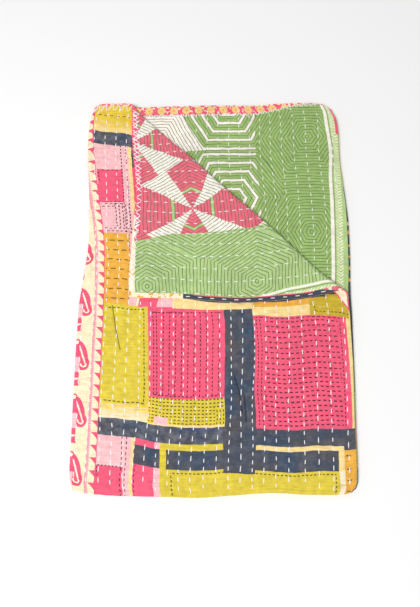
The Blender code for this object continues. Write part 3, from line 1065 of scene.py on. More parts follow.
DASHES = (
    # outlines and single rows
    Dashes(Run.ALONG, 0.1463, 0.1485, 0.190, 0.393, 0.0085, 0.62, Dye.BROWN_DASH),
    Dashes(Run.ACROSS, 0.066, 0.148, 0.3913, 0.3935, 0.0095, 0.62, Dye.BROWN_DASH),
    Dashes(Run.ACROSS, 0.066, 0.150, 0.1903, 0.1925, 0.0095, 0.62, Dye.BROWN_DASH),
    Dashes(Run.ACROSS, 0.060, 0.110, 0.0583, 0.0603, 0.0075, 0.60, Dye.MAROON),
    Dashes(Run.ALONG, 0.0585, 0.0603, 0.038, 0.059, 0.0075, 0.60, Dye.MAROON),
    Dashes(Run.ALONG, 0.1075, 0.1095, 0.000, 0.120, 0.0105, 0.55, Dye.MAROON),
    Dashes(Run.ALONG, 0.1170, 0.1190, 0.000, 0.120, 0.0105, 0.55, Dye.MAROON),
    Dashes(Run.ALONG, 0.1375, 0.1395, 0.000, 0.066, 0.0105, 0.55, Dye.MAROON),
    Dashes(Run.ACROSS, 0.213, 0.556, 0.0605, 0.0627, 0.00865, 0.58, Dye.BROWN_DASH),
    Dashes(Run.ALONG, 0.2120, 0.2142, 0.000, 0.062, 0.00865, 0.58, Dye.BROWN_DASH),
    Dashes(Run.ALONG, 0.5545, 0.5567, 0.000, 0.062, 0.00865, 0.58, Dye.BROWN_DASH),
    Dashes(Run.ALONG, 0.1085, 0.1100, 0.402, 0.567, 0.0085, 0.50, Dye.MAROON),
    Dashes(Run.ALONG, 0.1038, 0.1058, 0.567, 0.786, 0.0085, 0.55, Dye.MAROON),
    Dashes(Run.ALONG, 0.1145, 0.1165, 0.567, 0.786, 0.0085, 0.55, Dye.MAROON),
    Dashes(Run.ACROSS, 0.064, 0.104, 0.7225, 0.7245, 0.0085, 0.60, Dye.MAROON),
    Dashes(Run.ACROSS, 0.064, 0.104, 0.6420, 0.6440, 0.0085, 0.60, Dye.MAROON),
    Dashes(Run.ALONG, 0.0600, 0.0620, 0.697, 0.724, 0.0085, 0.60, Dye.MAROON),
    Dashes(Run.ACROSS, 0.062, 0.127, 0.8630, 0.8650, 0.0105, 0.55, Dye.BROWN_DASH),
    Dashes(Run.ACROSS, 0.526, 0.600, 0.3815, 0.3835, 0.0085, 0.60, Dye.BROWN_DASH),
    Dashes(Run.ALONG, 0.5255, 0.5275, 0.382, 0.397, 0.0085, 0.60, Dye.BROWN_DASH),
    Dashes(Run.ACROSS, 0.537, 0.560, 0.3925, 0.3945, 0.0085, 0.60, Dye.BUTTER),
    Dashes(Run.ALONG, 0.3940, 0.3961, 0.153, 0.368, 0.0080, 0.60, Dye.MAROON),
    Dashes(Run.ALONG, 0.4020, 0.4041, 0.153, 0.368, 0.0080, 0.60, Dye.MAROON),
    Dashes(Run.ALONG, 0.5775, 0.5796, 0.153, 0.362, 0.0080, 0.60, Dye.MAROON),
    Dashes(Run.ACROSS, 0.394, 0.579, 0.3685, 0.3706, 0.0115, 0.65, Dye.MAROON),
    Dashes(Run.ALONG, 0.1674, 0.1696, 0.209, 0.392, 0.0085, 0.60, Dye.MAROON),
    Dashes(Run.ALONG, 0.1744, 0.1766, 0.209, 0.392, 0.0085, 0.60, Dye.MAROON),
    Dashes(Run.ALONG, 0.1889, 0.1911, 0.213, 0.388, 0.0085, 0.60, Dye.MAROON),
    Dashes(Run.ACROSS, 0.166, 0.322, 0.3850, 0.3871, 0.0089, 0.60, Dye.MAROON),
    Dashes(Run.ACROSS, 0.166, 0.322, 0.2108, 0.2129, 0.0089, 0.60, Dye.MAROON),
)
# Banks of rows side by side
BANKS = (
    Bank(Run.ALONG, 0.1963, 0.3220, 0.213, 0.387, 0.0134, 0.0085, 0.60, 0.0021, 0.0, Dye.MAROON),
    Bank(Run.ACROSS, 0.1590, 0.3020, 0.1578, 0.1898, 0.0064, 0.0083, 0.58, 0.0022, 0.0, Dye.BROWN_DASH),
    Bank(Run.ACROSS, 0.1590, 0.3235, 0.1898, 0.2069, 0.0064, 0.0083, 0.58, 0.0022, 0.0, Dye.BROWN_DASH),
    Bank(Run.ALONG, 0.3030, 0.3235, 0.1590, 0.1898, 0.0068, 0.0076, 0.60, 0.0022, 0.0, Dye.BROWN_DASH),
    Bank(Run.ACROSS, 0.4100, 0.5740, 0.2466, 0.3650, 0.0110, 0.0112, 0.58, 0.0025, 0.1, Dye.MAROON),
    Bank(Run.ACROSS, 0.4100, 0.5740, 0.1498, 0.2466, 0.0090, 0.0112, 0.58, 0.0025, 0.1, Dye.MAROON),
    Bank(Run.ALONG, 0.0830, 0.1180, 0.5790, 0.6400, 0.0070, 0.0088, 0.60, 0.0021, 0.4, Dye.MAROON),
    Bank(Run.ACROSS, 0.0600, 0.1180, 0.5680, 0.5820, 0.0070, 0.0092, 0.55, 0.0020, 0.4, Dye.MAROON),
    Bank(Run.ACROSS, 0.0600, 0.1040, 0.6280, 0.6420, 0.0070, 0.0100, 0.55, 0.0020, 0.4, Dye.MAROON),
    Bank(Run.ACROSS, 0.0600, 0.1070, 0.4030, 0.5600, 0.0224, 0.0180, 0.60, 0.0023, 0.37, Dye.BROWN_DASH),
    Bank(Run.ACROSS, 0.5790, 0.5960, 0.0150, 0.1000, 0.0225, 0.0400, 0.70, 0.0023, 0.0, Dye.BROWN_DASH),
)
# The one plain spot that lies over the dashes
BLUSH_SPOT = Patch(0.173, 0.204, 0.156, 0.172, Dye.BLUSH)
# The third layer's side hem, which shows past the layers above it
Sliver = namedtuple("Sliver", "front back dye")
SLIVER_WIDTH = 0.040
SLIVERS = (
    Sliver(0.000, 0.045, Dye.CHARCOAL),
    Sliver(0.045, 0.085, Dye.OLIVE),
    Sliver(0.085, 0.150, Dye.CRIMSON),
    # this sliver's green is the darker copy: painted shade
    Sliver(0.150, 0.205, Dye.PAINTED_SHADE_GREEN),
    Sliver(0.205, 0.690, Dye.CHARCOAL),
    Sliver(0.456, 0.464, Dye.MARIGOLD),
    Sliver(0.484, 0.492, Dye.MARIGOLD),
    Sliver(0.513, 0.519, Dye.MARIGOLD),
    Sliver(0.540, 0.546, Dye.MARIGOLD),
    Sliver(0.571, 0.580, Dye.MARIGOLD),
    Sliver(0.593, 0.602, Dye.BUTTER),
    Sliver(0.690, 0.780, Dye.OLIVE),
    Sliver(0.780, 0.820, Dye.BLUSH),
    Sliver(0.820, 0.860, Dye.MARIGOLD),
    Sliver(0.860, 0.892, Dye.CRIMSON),
)

# The ovals that make up one paisley, by the place across the border and along from its middle
Oval = namedtuple("Oval", "across along wide tall lean")
PAISLEY_FIGURE = (
    Oval(0.0155, 0.0160, 0.0160, 0.0165, 0.00),
    Oval(0.0135, 0.0400, 0.0125, 0.0240, -0.25),
    Oval(0.0040, 0.0615, 0.0062, 0.0075, 0.00),
    Oval(0.0055, -0.0290, 0.0062, 0.0130, 0.10),
)
PAISLEY_LIGHTS = (
    Oval(0.0165, 0.0320, 0.0021, 0.0215, -0.36),
    Oval(0.0040, 0.0615, 0.0034, 0.0042, 0.00),
    Oval(0.0010, -0.0190, 0.0100, 0.0022, 0.00),
)
PAISLEY_CURL = Oval(0.0185, 0.0135, 0.0058, 0.0058, 0.00)


class FaceAPrint(Weaver):
    """The patchwork print: dyed patches, rows of printed dashes and a border of paisleys."""

    ink = 0.95
    paisley_pitch = 0.120
    paisley_at = 0.131
    paisley_tail = 0.034
    tooth_pitch = 0.02503
    tooth_top = 0.0230
    tooth_width = 0.0170
    tooth_length = 0.0150
    tooth_tip = 0.0415
    dotted_stripe = (0.0352, 0.0418)
    dot_pitch = 0.0040
    hem_width = 0.0080
    tip_slant = 0.62
    tip_starts = 0.8376
    tip_line = 0.0034
    tip_corner = (0.5970, 0.440)
    # how wide and how dark the painted shade along the sharpest creases is
    crease_shade_reach = 0.0016
    crease_shade_share = 0.70
    wear = Wear(mottle=0.60, streak=0.50, broad=0.30, mottle_size=0.011, broad_size=0.090)

    def __init__(self) -> None:
        """Read the print's place, a little unsteady as a hand print is."""
        super().__init__("quilt_patchwork_print")
        across, along, both = self.place("print")
        self.cloth = self.place("cloth")
        shake = self.speckle(both, 0.020, 1.0) - 0.5
        shiver = self.speckle(both, 0.027, 1.0, (1.3, 0.8)) - 0.5
        self.signed = across
        self.across = abs(across) + shake * 0.0030
        self.along = along + shiver * 0.0034

    def box(self, patch: Patch | Fade | Dashes | Bank) -> Value:
        """Return 1 inside a patch, or else 0."""
        return self.across.between(patch.left, patch.right) * self.along.between(patch.front, patch.back)

    def stripes(self, size: float) -> Value:
        """Return fine streaks across the cloth, as uneven thread makes them."""
        return self.speckle(self.cloth[2], size, 2.0, (0.07, 1.0))

    def dashed(self, colour: Value) -> Value:
        """Print the rows of dashes over a colour.

        Args:
            colour: The colour so far.

        Returns:
            The colour with its dashes.
        """
        for row in DASHES:
            running = self.along if row.run is Run.ALONG else self.across
            broken = (running / row.pitch).part() < row.dash
            colour = self.mix(self.box(row) * broken * self.ink, colour, row.dye.value)
        for bank in BANKS:
            running, aside, start = self.along, self.across, bank.left
            if bank.run is Run.ACROSS:
                running, aside, start = self.across, self.along, bank.front
            count = (aside - start) / bank.spacing
            broken = (running / bank.pitch + count.whole() * bank.stagger).part() < bank.dash
            line = count.part().near(0.5, bank.width / bank.spacing / 2)
            colour = self.mix(self.box(bank) * broken * line * self.ink, colour, bank.dye.value)
        return self.mix(self.box(BLUSH_SPOT), colour, BLUSH_SPOT.dye.value)

    def paisleys(self, colour: Value) -> Value:
        """Print the paisleys, which lie along the left fold and curl towards the patches.

        Args:
            colour: The colour so far.

        Returns:
            The colour with its paisleys.
        """
        back = self.paisley_pitch - self.paisley_tail
        step = (self.along - self.paisley_at).wrap(back, -self.paisley_tail)

        def far(oval: Oval) -> Value:
            """Return how far out of a leaning oval a place is, as a share of its size."""
            ahead = step - oval.along
            aside = (self.across - oval.across - ahead * oval.lean) / oval.wide
            ahead = ahead / oval.tall
            return (aside * aside + ahead * ahead).root()

        figure = (self.across < 0.0100) * step.between(-0.017, 0.040)
        for oval in PAISLEY_FIGURE:
            figure = figure.most(far(oval) < 1.0)
        colour = self.mix(figure, colour, Dye.DEEP_PINK.value)
        colour = self.mix((self.across < 0.0105) * step.between(-0.004, 0.028), colour, Dye.BLUSH.value)
        light = far(PAISLEY_CURL).near(1.0, 0.26) * (step < 0.0150)
        for oval in PAISLEY_LIGHTS:
            light = light.most(far(oval) < 1.0)
        return self.mix(light, colour, Dye.CREAM.value)

    def border(self, colour: Value) -> Value:
        """Print the border: paisleys, a dotted stripe and a row of hollow-sided teeth.

        Args:
            colour: The colour so far.

        Returns:
            The colour with its border.
        """
        pink = Dye.DEEP_PINK.value
        ground = self.mix(self.stripes(0.004) * 0.35, Dye.CREAM.value, Dye.BUTTER.value)
        ground = self.paisleys(ground)
        left, right = self.dotted_stripe
        dots = (self.along / self.dot_pitch).part() < 0.5
        ground = self.mix(self.across.between(left, right), ground, Dye.BLUSH.value)
        ground = self.mix(self.across.between(left + 0.0006, right - 0.0013) * dots * 0.62, ground, pink)
        ground = self.mix(self.across.between(left, left + 0.0009) * 0.7, ground, pink)
        below_top = ((self.tooth_top - self.along) / self.tooth_pitch).part() * self.tooth_pitch
        down = below_top / self.tooth_width
        tooth = self.across > down * (1.6 - down * 0.6) * self.tooth_length + self.tooth_tip
        ground = self.mix(tooth * (below_top < self.tooth_width), ground, pink)
        ground = self.mix(self.across > BORDER_WIDTH - 0.0016, ground, pink)
        return self.mix(self.across < BORDER_WIDTH, colour, ground)

    def turned_tip(self, colour: Value) -> Value:
        """Print the side hem's strip, cream with a crimson line, where it shows by the crease's right end.

        Args:
            colour: The colour so far.

        Returns:
            The colour with the strip.
        """
        u, v, _ = self.cloth
        past = u + v * self.tip_slant - self.tip_starts
        strip = self.mix(past < self.tip_line, Dye.CREAM.value, Dye.CRIMSON.value)
        strip = self.mix((u > self.tip_corner[0]) * (v < self.tip_corner[1]), strip, Dye.CRIMSON.value)
        return self.mix((past > 0.0) * (u > 0.0) * (v > 0.0), colour, strip)

    def hem(self, colour: Value) -> Value:
        """Print the strip along the end hems, where the cloth shows its pink and yellow scallops.

        Args:
            colour: The colour so far.

        Returns:
            The colour with the strip.
        """
        u, v, _ = self.cloth
        edge = abs(v) > END_HEM - self.hem_width
        return self.mix(edge, colour, scalloped(self, u, END_HEM - abs(v)))

    def charcoal(self, cloth: Value) -> Value:
        """Return the stained and dusty black of the dark patches, paler in its oldest bands.

        Args:
            cloth: The place on the cloth.

        Returns:
            The colour.
        """
        stains = self.speckle(cloth, 0.060, 3.0) * 2.4 + self.speckle(cloth, 0.0045, 3.0) * 1.6 - 1.5
        colour = self.mix(stains.least(1.0).most(0.0), Dye.BLUE_BLACK.value, Dye.BROWN_BLACK.value)
        old = (self.along.between(0.119, 0.158) * (self.across < 0.330)).most(self.along > 0.780)
        dust = (self.speckle(cloth, 0.016, 4.0) - 0.47) * (old + 1.0) + old * 0.10
        return self.mix(dust.least(1.0).most(0.0), colour, Dye.DUST.value)

    def material_of(self) -> bpy.types.Material:
        """Build the whole print and return its material.

        Returns:
            The material.
        """
        _, v, cloth = self.cloth
        streak = self.stripes(0.0032)
        charcoal = self.charcoal(cloth)
        colour = Dye.BUTTER.value
        for patch in PATCHES:
            dyed = charcoal if patch.dye is Dye.CHARCOAL else patch.dye.value
            colour = self.mix(self.box(patch), colour, dyed)
        for fade in FADES:
            share = (self.along - fade.front) / (fade.back - fade.front)
            banded = (share * 0.90 + (streak - 0.5) * 3.2).least(1.0).most(0.0)
            wash = self.mix(banded, fade.from_dye.value, fade.to_dye.value)
            colour = self.mix(self.box(fade), colour, wash)
        side = self.signed.between(-SIDE_HEM, SLIVER_WIDTH - SIDE_HEM)
        for sliver in SLIVERS:
            inside = side * (v * -1.0).between(sliver.front, sliver.back)
            colour = self.mix(inside, colour, sliver.dye.value)
        colour = self.creased(self.turned_tip(self.hem(self.border(self.dashed(colour)))))
        return self.worn(colour, self.wear, cloth, streak)

    def creased(self, colour: Value) -> Value:
        """Paint shade along the bottoms of the sharpest handling creases, where a tight fold falls dark.

        Args:
            colour: The colour so far.

        Returns:
            The colour with its creases.
        """
        u, v, _ = self.cloth
        for crease in CREASES[:SHARP_CREASES]:
            lean = (crease.u1 - crease.u0) / (crease.v1 - crease.v0)
            off = abs(u - (v - crease.v0) * lean - crease.u0)
            # painted shade, darkest on the crease's line and gone at the reach
            dark = (1.0 - off / self.crease_shade_reach).most(0.0) * v.between(crease.v1, crease.v0)
            colour = self.mix(dark.least(self.crease_shade_share), colour, Dye.CREASE_SHADE.value)
        return colour


# The hem print's rosettes: how far apart and how far in they are, and the sizes of each with its eye and
# its rings; and how far in from the hem the crimson round them has frayed
ROSETTE_PITCH = 0.0310
ROSETTE_IN = 0.0125
ROSETTE_RADIUS = 0.0098
ROSETTE_EYE = 0.0018
ROSETTE_RING = 0.0036
FRAYED_IN = 0.0070


def scalloped(weaver: Weaver, along_hem: Value, from_hem: Value) -> Value:
    """Return the hem's print: yellow and cream rosettes on crimson.

    Args:
        weaver: The material that the print goes in.
        along_hem: The place along the hem.
        from_hem: The distance from the hem.

    Returns:
        Its colour.
    """
    aside = (along_hem / ROSETTE_PITCH).part() * ROSETTE_PITCH - ROSETTE_PITCH / 2
    ahead = from_hem - ROSETTE_IN
    far = (aside * aside + ahead * ahead).root()
    colour = weaver.mix((far / ROSETTE_RING).part() < 0.32, Dye.BUTTER.value, Dye.MARIGOLD.value)
    colour = weaver.mix(far < ROSETTE_EYE, colour, Dye.CRIMSON.value)
    frayed = (1.0 - from_hem / FRAYED_IN).most(0.0) * 0.16
    fleck = weaver.speckle(weaver.place("cloth")[2], 0.007, 2.0) + frayed > 0.60
    ground = weaver.mix(fleck, Dye.CRIMSON.value, Dye.CREAM.value)
    return weaver.mix(far > ROSETTE_RADIUS, colour, ground)


# ----------------------------------------
# Face B: the green hexagon print

# Where the cream stripe of Face B's side border runs, by the place along the sheet
STRIPE_LINE = (
    (-0.900, 0.575), (-0.850, 0.573), (-0.770, 0.580), (-0.700, 0.572), (-0.600, 0.567), (-0.450, 0.566),
    (0.000, 0.578), (0.430, 0.592), (0.480, 0.588), (0.550, 0.590), (0.600, 0.599), (0.650, 0.608),
    (0.900, 0.640),
)
# How far Face A's hem is turned over onto Face B, on the second layer and on the turned corner
TURNED_OVER = (
    (-0.001, 0.024), (0.380, 0.024), (0.430, 0.020), (0.500, 0.008), (0.560, 0.003), (0.600, 0.003),
)
CORNER_TURNED_OVER = (
    (0.000, 0.012), (0.150, 0.012), (0.320, 0.0105), (0.360, 0.004), (0.450, 0.004), (0.490, 0.010),
    (0.600, 0.014),
)

# Where the columns of hexagon cells run on the second layer and on the turned corner: the place across,
# how much it leans, and where the middle of one of its cells lies along
Column = namedtuple("Column", "at lean row")
STAR_COLUMN = (Column(0.3595, 0.026, 0.783), Column(0.3580, 0.0343, 0.772))
PLAIN_COLUMN = (Column(0.4958, -0.037, 0.631), Column(0.5470, 0.0343, 0.634))
# Where the middle of a cell lies along in the plain column to the left of the stars
LEFT_ROW = (0.660, 0.656)


class FaceBPrint(Weaver):
    """The green print: rings of hexagons in ruled lines, with stars, bands and a leafy border."""

    ring = 0.0075
    column = 0.376
    repeat = 0.240
    seam_at = 0.401
    seam_bends_at = 0.820
    seam_bend = 0.28
    seam_past_star = 0.0615
    point_from = 0.085
    kite_width = 0.54
    kite_shoulder = 0.098
    kite_taper = 1.10
    green_ring = 6.0
    leaf_pitch = 0.0074
    leaves = (0.0085, 0.0235)
    lined_to = -0.0045
    leafy_from = 0.0035
    rib = (0.0045, 0.0062)
    stripe_widths = (0.0040, 0.0026)
    fleck_size = 0.011
    strip_starts = 0.5885
    strip_line = 0.5905
    strip_line_runs = (0.50, 0.760)
    strip_faded_from = 0.782
    torn_from = 2.253
    front_tip = (0.5940, -0.830)
    wear = Wear(mottle=0.50, streak=0.40, broad=0.36, mottle_size=0.012, broad_size=0.080)

    def __init__(self) -> None:
        """Read the cloth's place, a little unsteady as a hand print is."""
        super().__init__("quilt_hexagon_print")
        u, v, self.both = self.place("green")
        self.cloth = self.place("cloth")
        self.border = self.place("side")
        shake = self.speckle(self.both, 0.030, 1.0) - 0.5
        shiver = self.speckle(self.both, 0.024, 1.0, (0.8, 1.3)) - 0.5
        self.u = u + shake * 0.0050
        self.v = v + shiver * 0.0050

    def cell(self, middle: Value, row_at: Value | float) -> tuple[Value, Value, Value]:
        """Return the place in one column's hexagon cells, and how far out of the middle it is.

        Args:
            middle: Where such a column's middle lies across.
            row_at: Where the middle of one of its cells lies along.

        Returns:
            The distance right of the middle, the distance behind it, and the distance in rings' terms.
        """
        aside = (self.u - middle).wrap(self.column / 2, -self.column / 2)
        behind = (self.v - row_at).wrap(self.repeat / 2, -self.repeat / 2)
        far = abs(behind).most(abs(behind) * 0.5 + abs(aside) * 0.866)
        return aside, behind, far

    def ruled(self, far: Value) -> Value:
        """Return 1 on the ruled lines."""
        return (far / self.ring).part().near(0.5, 0.100)

    def star(self, aside: Value, behind: Value, ring: Value) -> Value:
        """Return the colour of a star cell, whose four rose kites meet in its middle.

        Args:
            aside: The distance right of the cell's middle.
            behind: The distance behind it.
            ring: The ring's number.

        Returns:
            The colour.
        """
        tall = abs(behind) > abs(aside)
        reach = abs(behind).most(abs(aside))
        off = abs(behind).least(abs(aside))
        shoulder = self.kite_shoulder + tall * 0.020
        wide = (behind > reach * 0.99) * (aside > 0.0) * 0.10 + self.kite_width
        kite = (off < reach * wide) * (off < (shoulder * 1.50 - reach) * self.kite_taper)
        colour = self.mix(kite, Dye.IVORY.value, Dye.ROSE.value)
        return self.mix(kite * ring.near(self.green_ring, 0.5), colour, Dye.GREEN.value)

    def fill(self) -> tuple[Value, Value]:
        """Return the colour between the ruled lines, and the lines' mask.

        Returns:
            The colour and the mask.
        """
        corner = self.v > 0.0
        low = self.v.least(0.0)
        high = self.v.most(0.0)
        star_middle, plain_middle = (
            self.pick(corner, low * flat.lean + flat.at, high * turned.lean + turned.at)
            for flat, turned in (STAR_COLUMN, PLAIN_COLUMN)
        )
        star_row, plain_row = (
            self.pick(corner, flat.row, turned.row) for flat, turned in (STAR_COLUMN, PLAIN_COLUMN)
        )
        far_left = self.u < star_middle
        aside_a, behind_a, far_a = self.cell(star_middle, star_row)
        row = self.pick(far_left, plain_row, self.pick(corner, *LEFT_ROW))
        aside_b, behind_b, far_b = self.cell(plain_middle, row)
        first = far_a < far_b
        far = far_a.least(far_b)
        ring = (far / self.ring + 0.5).whole()
        # the second layer's ground is the darker copy of the green, painted shade, while the turned corner
        # keeps the lit green
        ground = self.mix(corner, Dye.PAINTED_SHADE_GREEN.value, Dye.GREEN.value)
        # the columns of stars and of bands stop at a seam on their right
        bend = (self.v - self.seam_bends_at).most(0.0) * self.seam_bend
        inside = self.u < self.pick(corner, self.seam_at, star_middle + bend + self.seam_past_star)
        bands = (ring / 3.0).part() < 0.2
        in_star = (far_left * (1.0 - first) + corner).least(1.0)
        aside = aside_b + (aside_a - aside_b) * first
        behind = behind_b + (behind_a - behind_b) * first
        pattern = self.mix(bands, ground, Dye.IVORY.value)
        # the points on the second layer's cells also take the painted-shade green
        point = self.mix((behind > 0.0) * (aside > self.point_from), Dye.IVORY.value, Dye.PAINTED_SHADE_GREEN.value)
        pattern = self.mix(in_star, pattern, self.mix(corner, point, self.star(aside, behind, ring)))
        return self.mix(inside, ground, pattern), self.ruled(far)

    def leafy(self, colour: Value, lines: Value) -> Value:
        """Print the side border: a cream stripe, then a row of slanting leaves on green.

        Args:
            colour: The colour so far.
            lines: The ruled lines' mask.

        Returns:
            The colour with its ruled lines and its border.
        """
        out, along, _ = self.border
        colour = self.mix(lines * (out < self.lined_to), colour, Dye.LINE.value)
        colour = self.mix(out > self.leafy_from, colour, Dye.GREEN.value)
        leaf = ((along + abs(out - sum(self.leaves) / 2) * 0.9) / self.leaf_pitch).part() < 0.55
        colour = self.mix(out.between(*self.leaves) * leaf * 0.95, colour, Dye.LEAF.value)
        colour = self.mix(out.between(*self.rib) * 0.7, colour, Dye.LINE.value)
        wide = self.pick(along > 0.0, *self.stripe_widths)
        return self.mix(abs(out) < wide, colour, Dye.IVORY.value)

    def turned_strip(self, colour: Value) -> Value:
        """Print the strip of Face A that is turned over along the corner's side hem.

        Args:
            colour: The colour so far.

        Returns:
            The colour with the strip.
        """
        u, v, both = self.cloth
        spots = self.speckle(both, self.fleck_size, 1.0) > 0.56
        strip = self.mix(spots, Dye.CREAM.value, Dye.MARIGOLD.value)
        strip = self.mix(v < self.strip_faded_from, strip, Dye.FADED_BLACK.value)
        torn = (u * 3.0 + v) < self.torn_from
        strip = self.mix(torn, strip, self.mix(spots, Dye.ROSE.value, Dye.CREAM.value))
        strip = self.mix((u < self.strip_line) * v.between(*self.strip_line_runs), strip, Dye.CRIMSON.value)
        return self.mix((u > self.strip_starts) * (v > 0.0), colour, strip)

    def material_of(self) -> bpy.types.Material:
        """Build the whole print and return its material.

        Returns:
            The material.
        """
        colour, lines = self.fill()
        colour = self.turned_strip(self.leafy(colour, lines * 0.90))
        over, edge_in, _ = self.place("hem")
        u, v, both = self.cloth
        flecks = self.speckle(both, self.fleck_size, 1.0)
        plain = self.mix(flecks > 0.64, Dye.CRIMSON.value, Dye.CREAM.value)
        pale = self.mix(flecks > 0.60, Dye.CREAM.value, Dye.MARIGOLD.value)
        strip = self.mix(v > 0.0, scalloped(self, u, edge_in), self.mix(u > 0.400, plain, pale))
        colour = self.mix(over > 0.0, colour, strip)
        colour = self.mix((u > self.front_tip[0]) * (v < self.front_tip[1]), colour, Dye.CRIMSON.value)
        streak = self.speckle(self.both, 0.0032, 2.0, (0.07, 1.0))
        return self.worn(colour, self.wear, self.both, streak)


class ThreadFinish(Weaver):
    """White cotton thread, with its twist."""

    def __init__(self) -> None:
        """Start the material."""
        super().__init__("white_cotton_thread")

    def material_of(self) -> bpy.types.Material:
        """Build the thread's finish and return its material.

        Returns:
            The material.
        """
        place = self.node("ShaderNodeTexCoord", {}, {}, "Object")
        fibres = self.speckle(place, 0.0009, 2.0)
        colour = self.mix(fibres * 0.3, Dye.THREAD.value, Dye.THREAD_SHADE.value)
        return self.finish(colour, 0.62 + fibres * 0.2, fibres, 0.0002)


# ----------------------------------------
# The quilt


def spread(start: float, stop: float, spacing: float, zones: Sequence = ()) -> list[float]:
    """Return places from a start up to a stop, about a spacing apart, without the stop.

    Args:
        start: The first place.
        stop: Where they end.
        spacing: How far apart they are.
        zones: Stretches (from, to, spacing) in which they are closer.

    Returns:
        The places.
    """
    made, at = [], start
    cuts = [(low, high, step) for low, high, step in zones if low > start and high < stop]
    for low, high, step in (*cuts, (stop, stop, spacing)):
        for end, apart in ((low, spacing), (high, step)):
            count = round((end - at) / apart)
            made += [at + (end - at) * i / count for i in range(count)]
            at = end
    return made


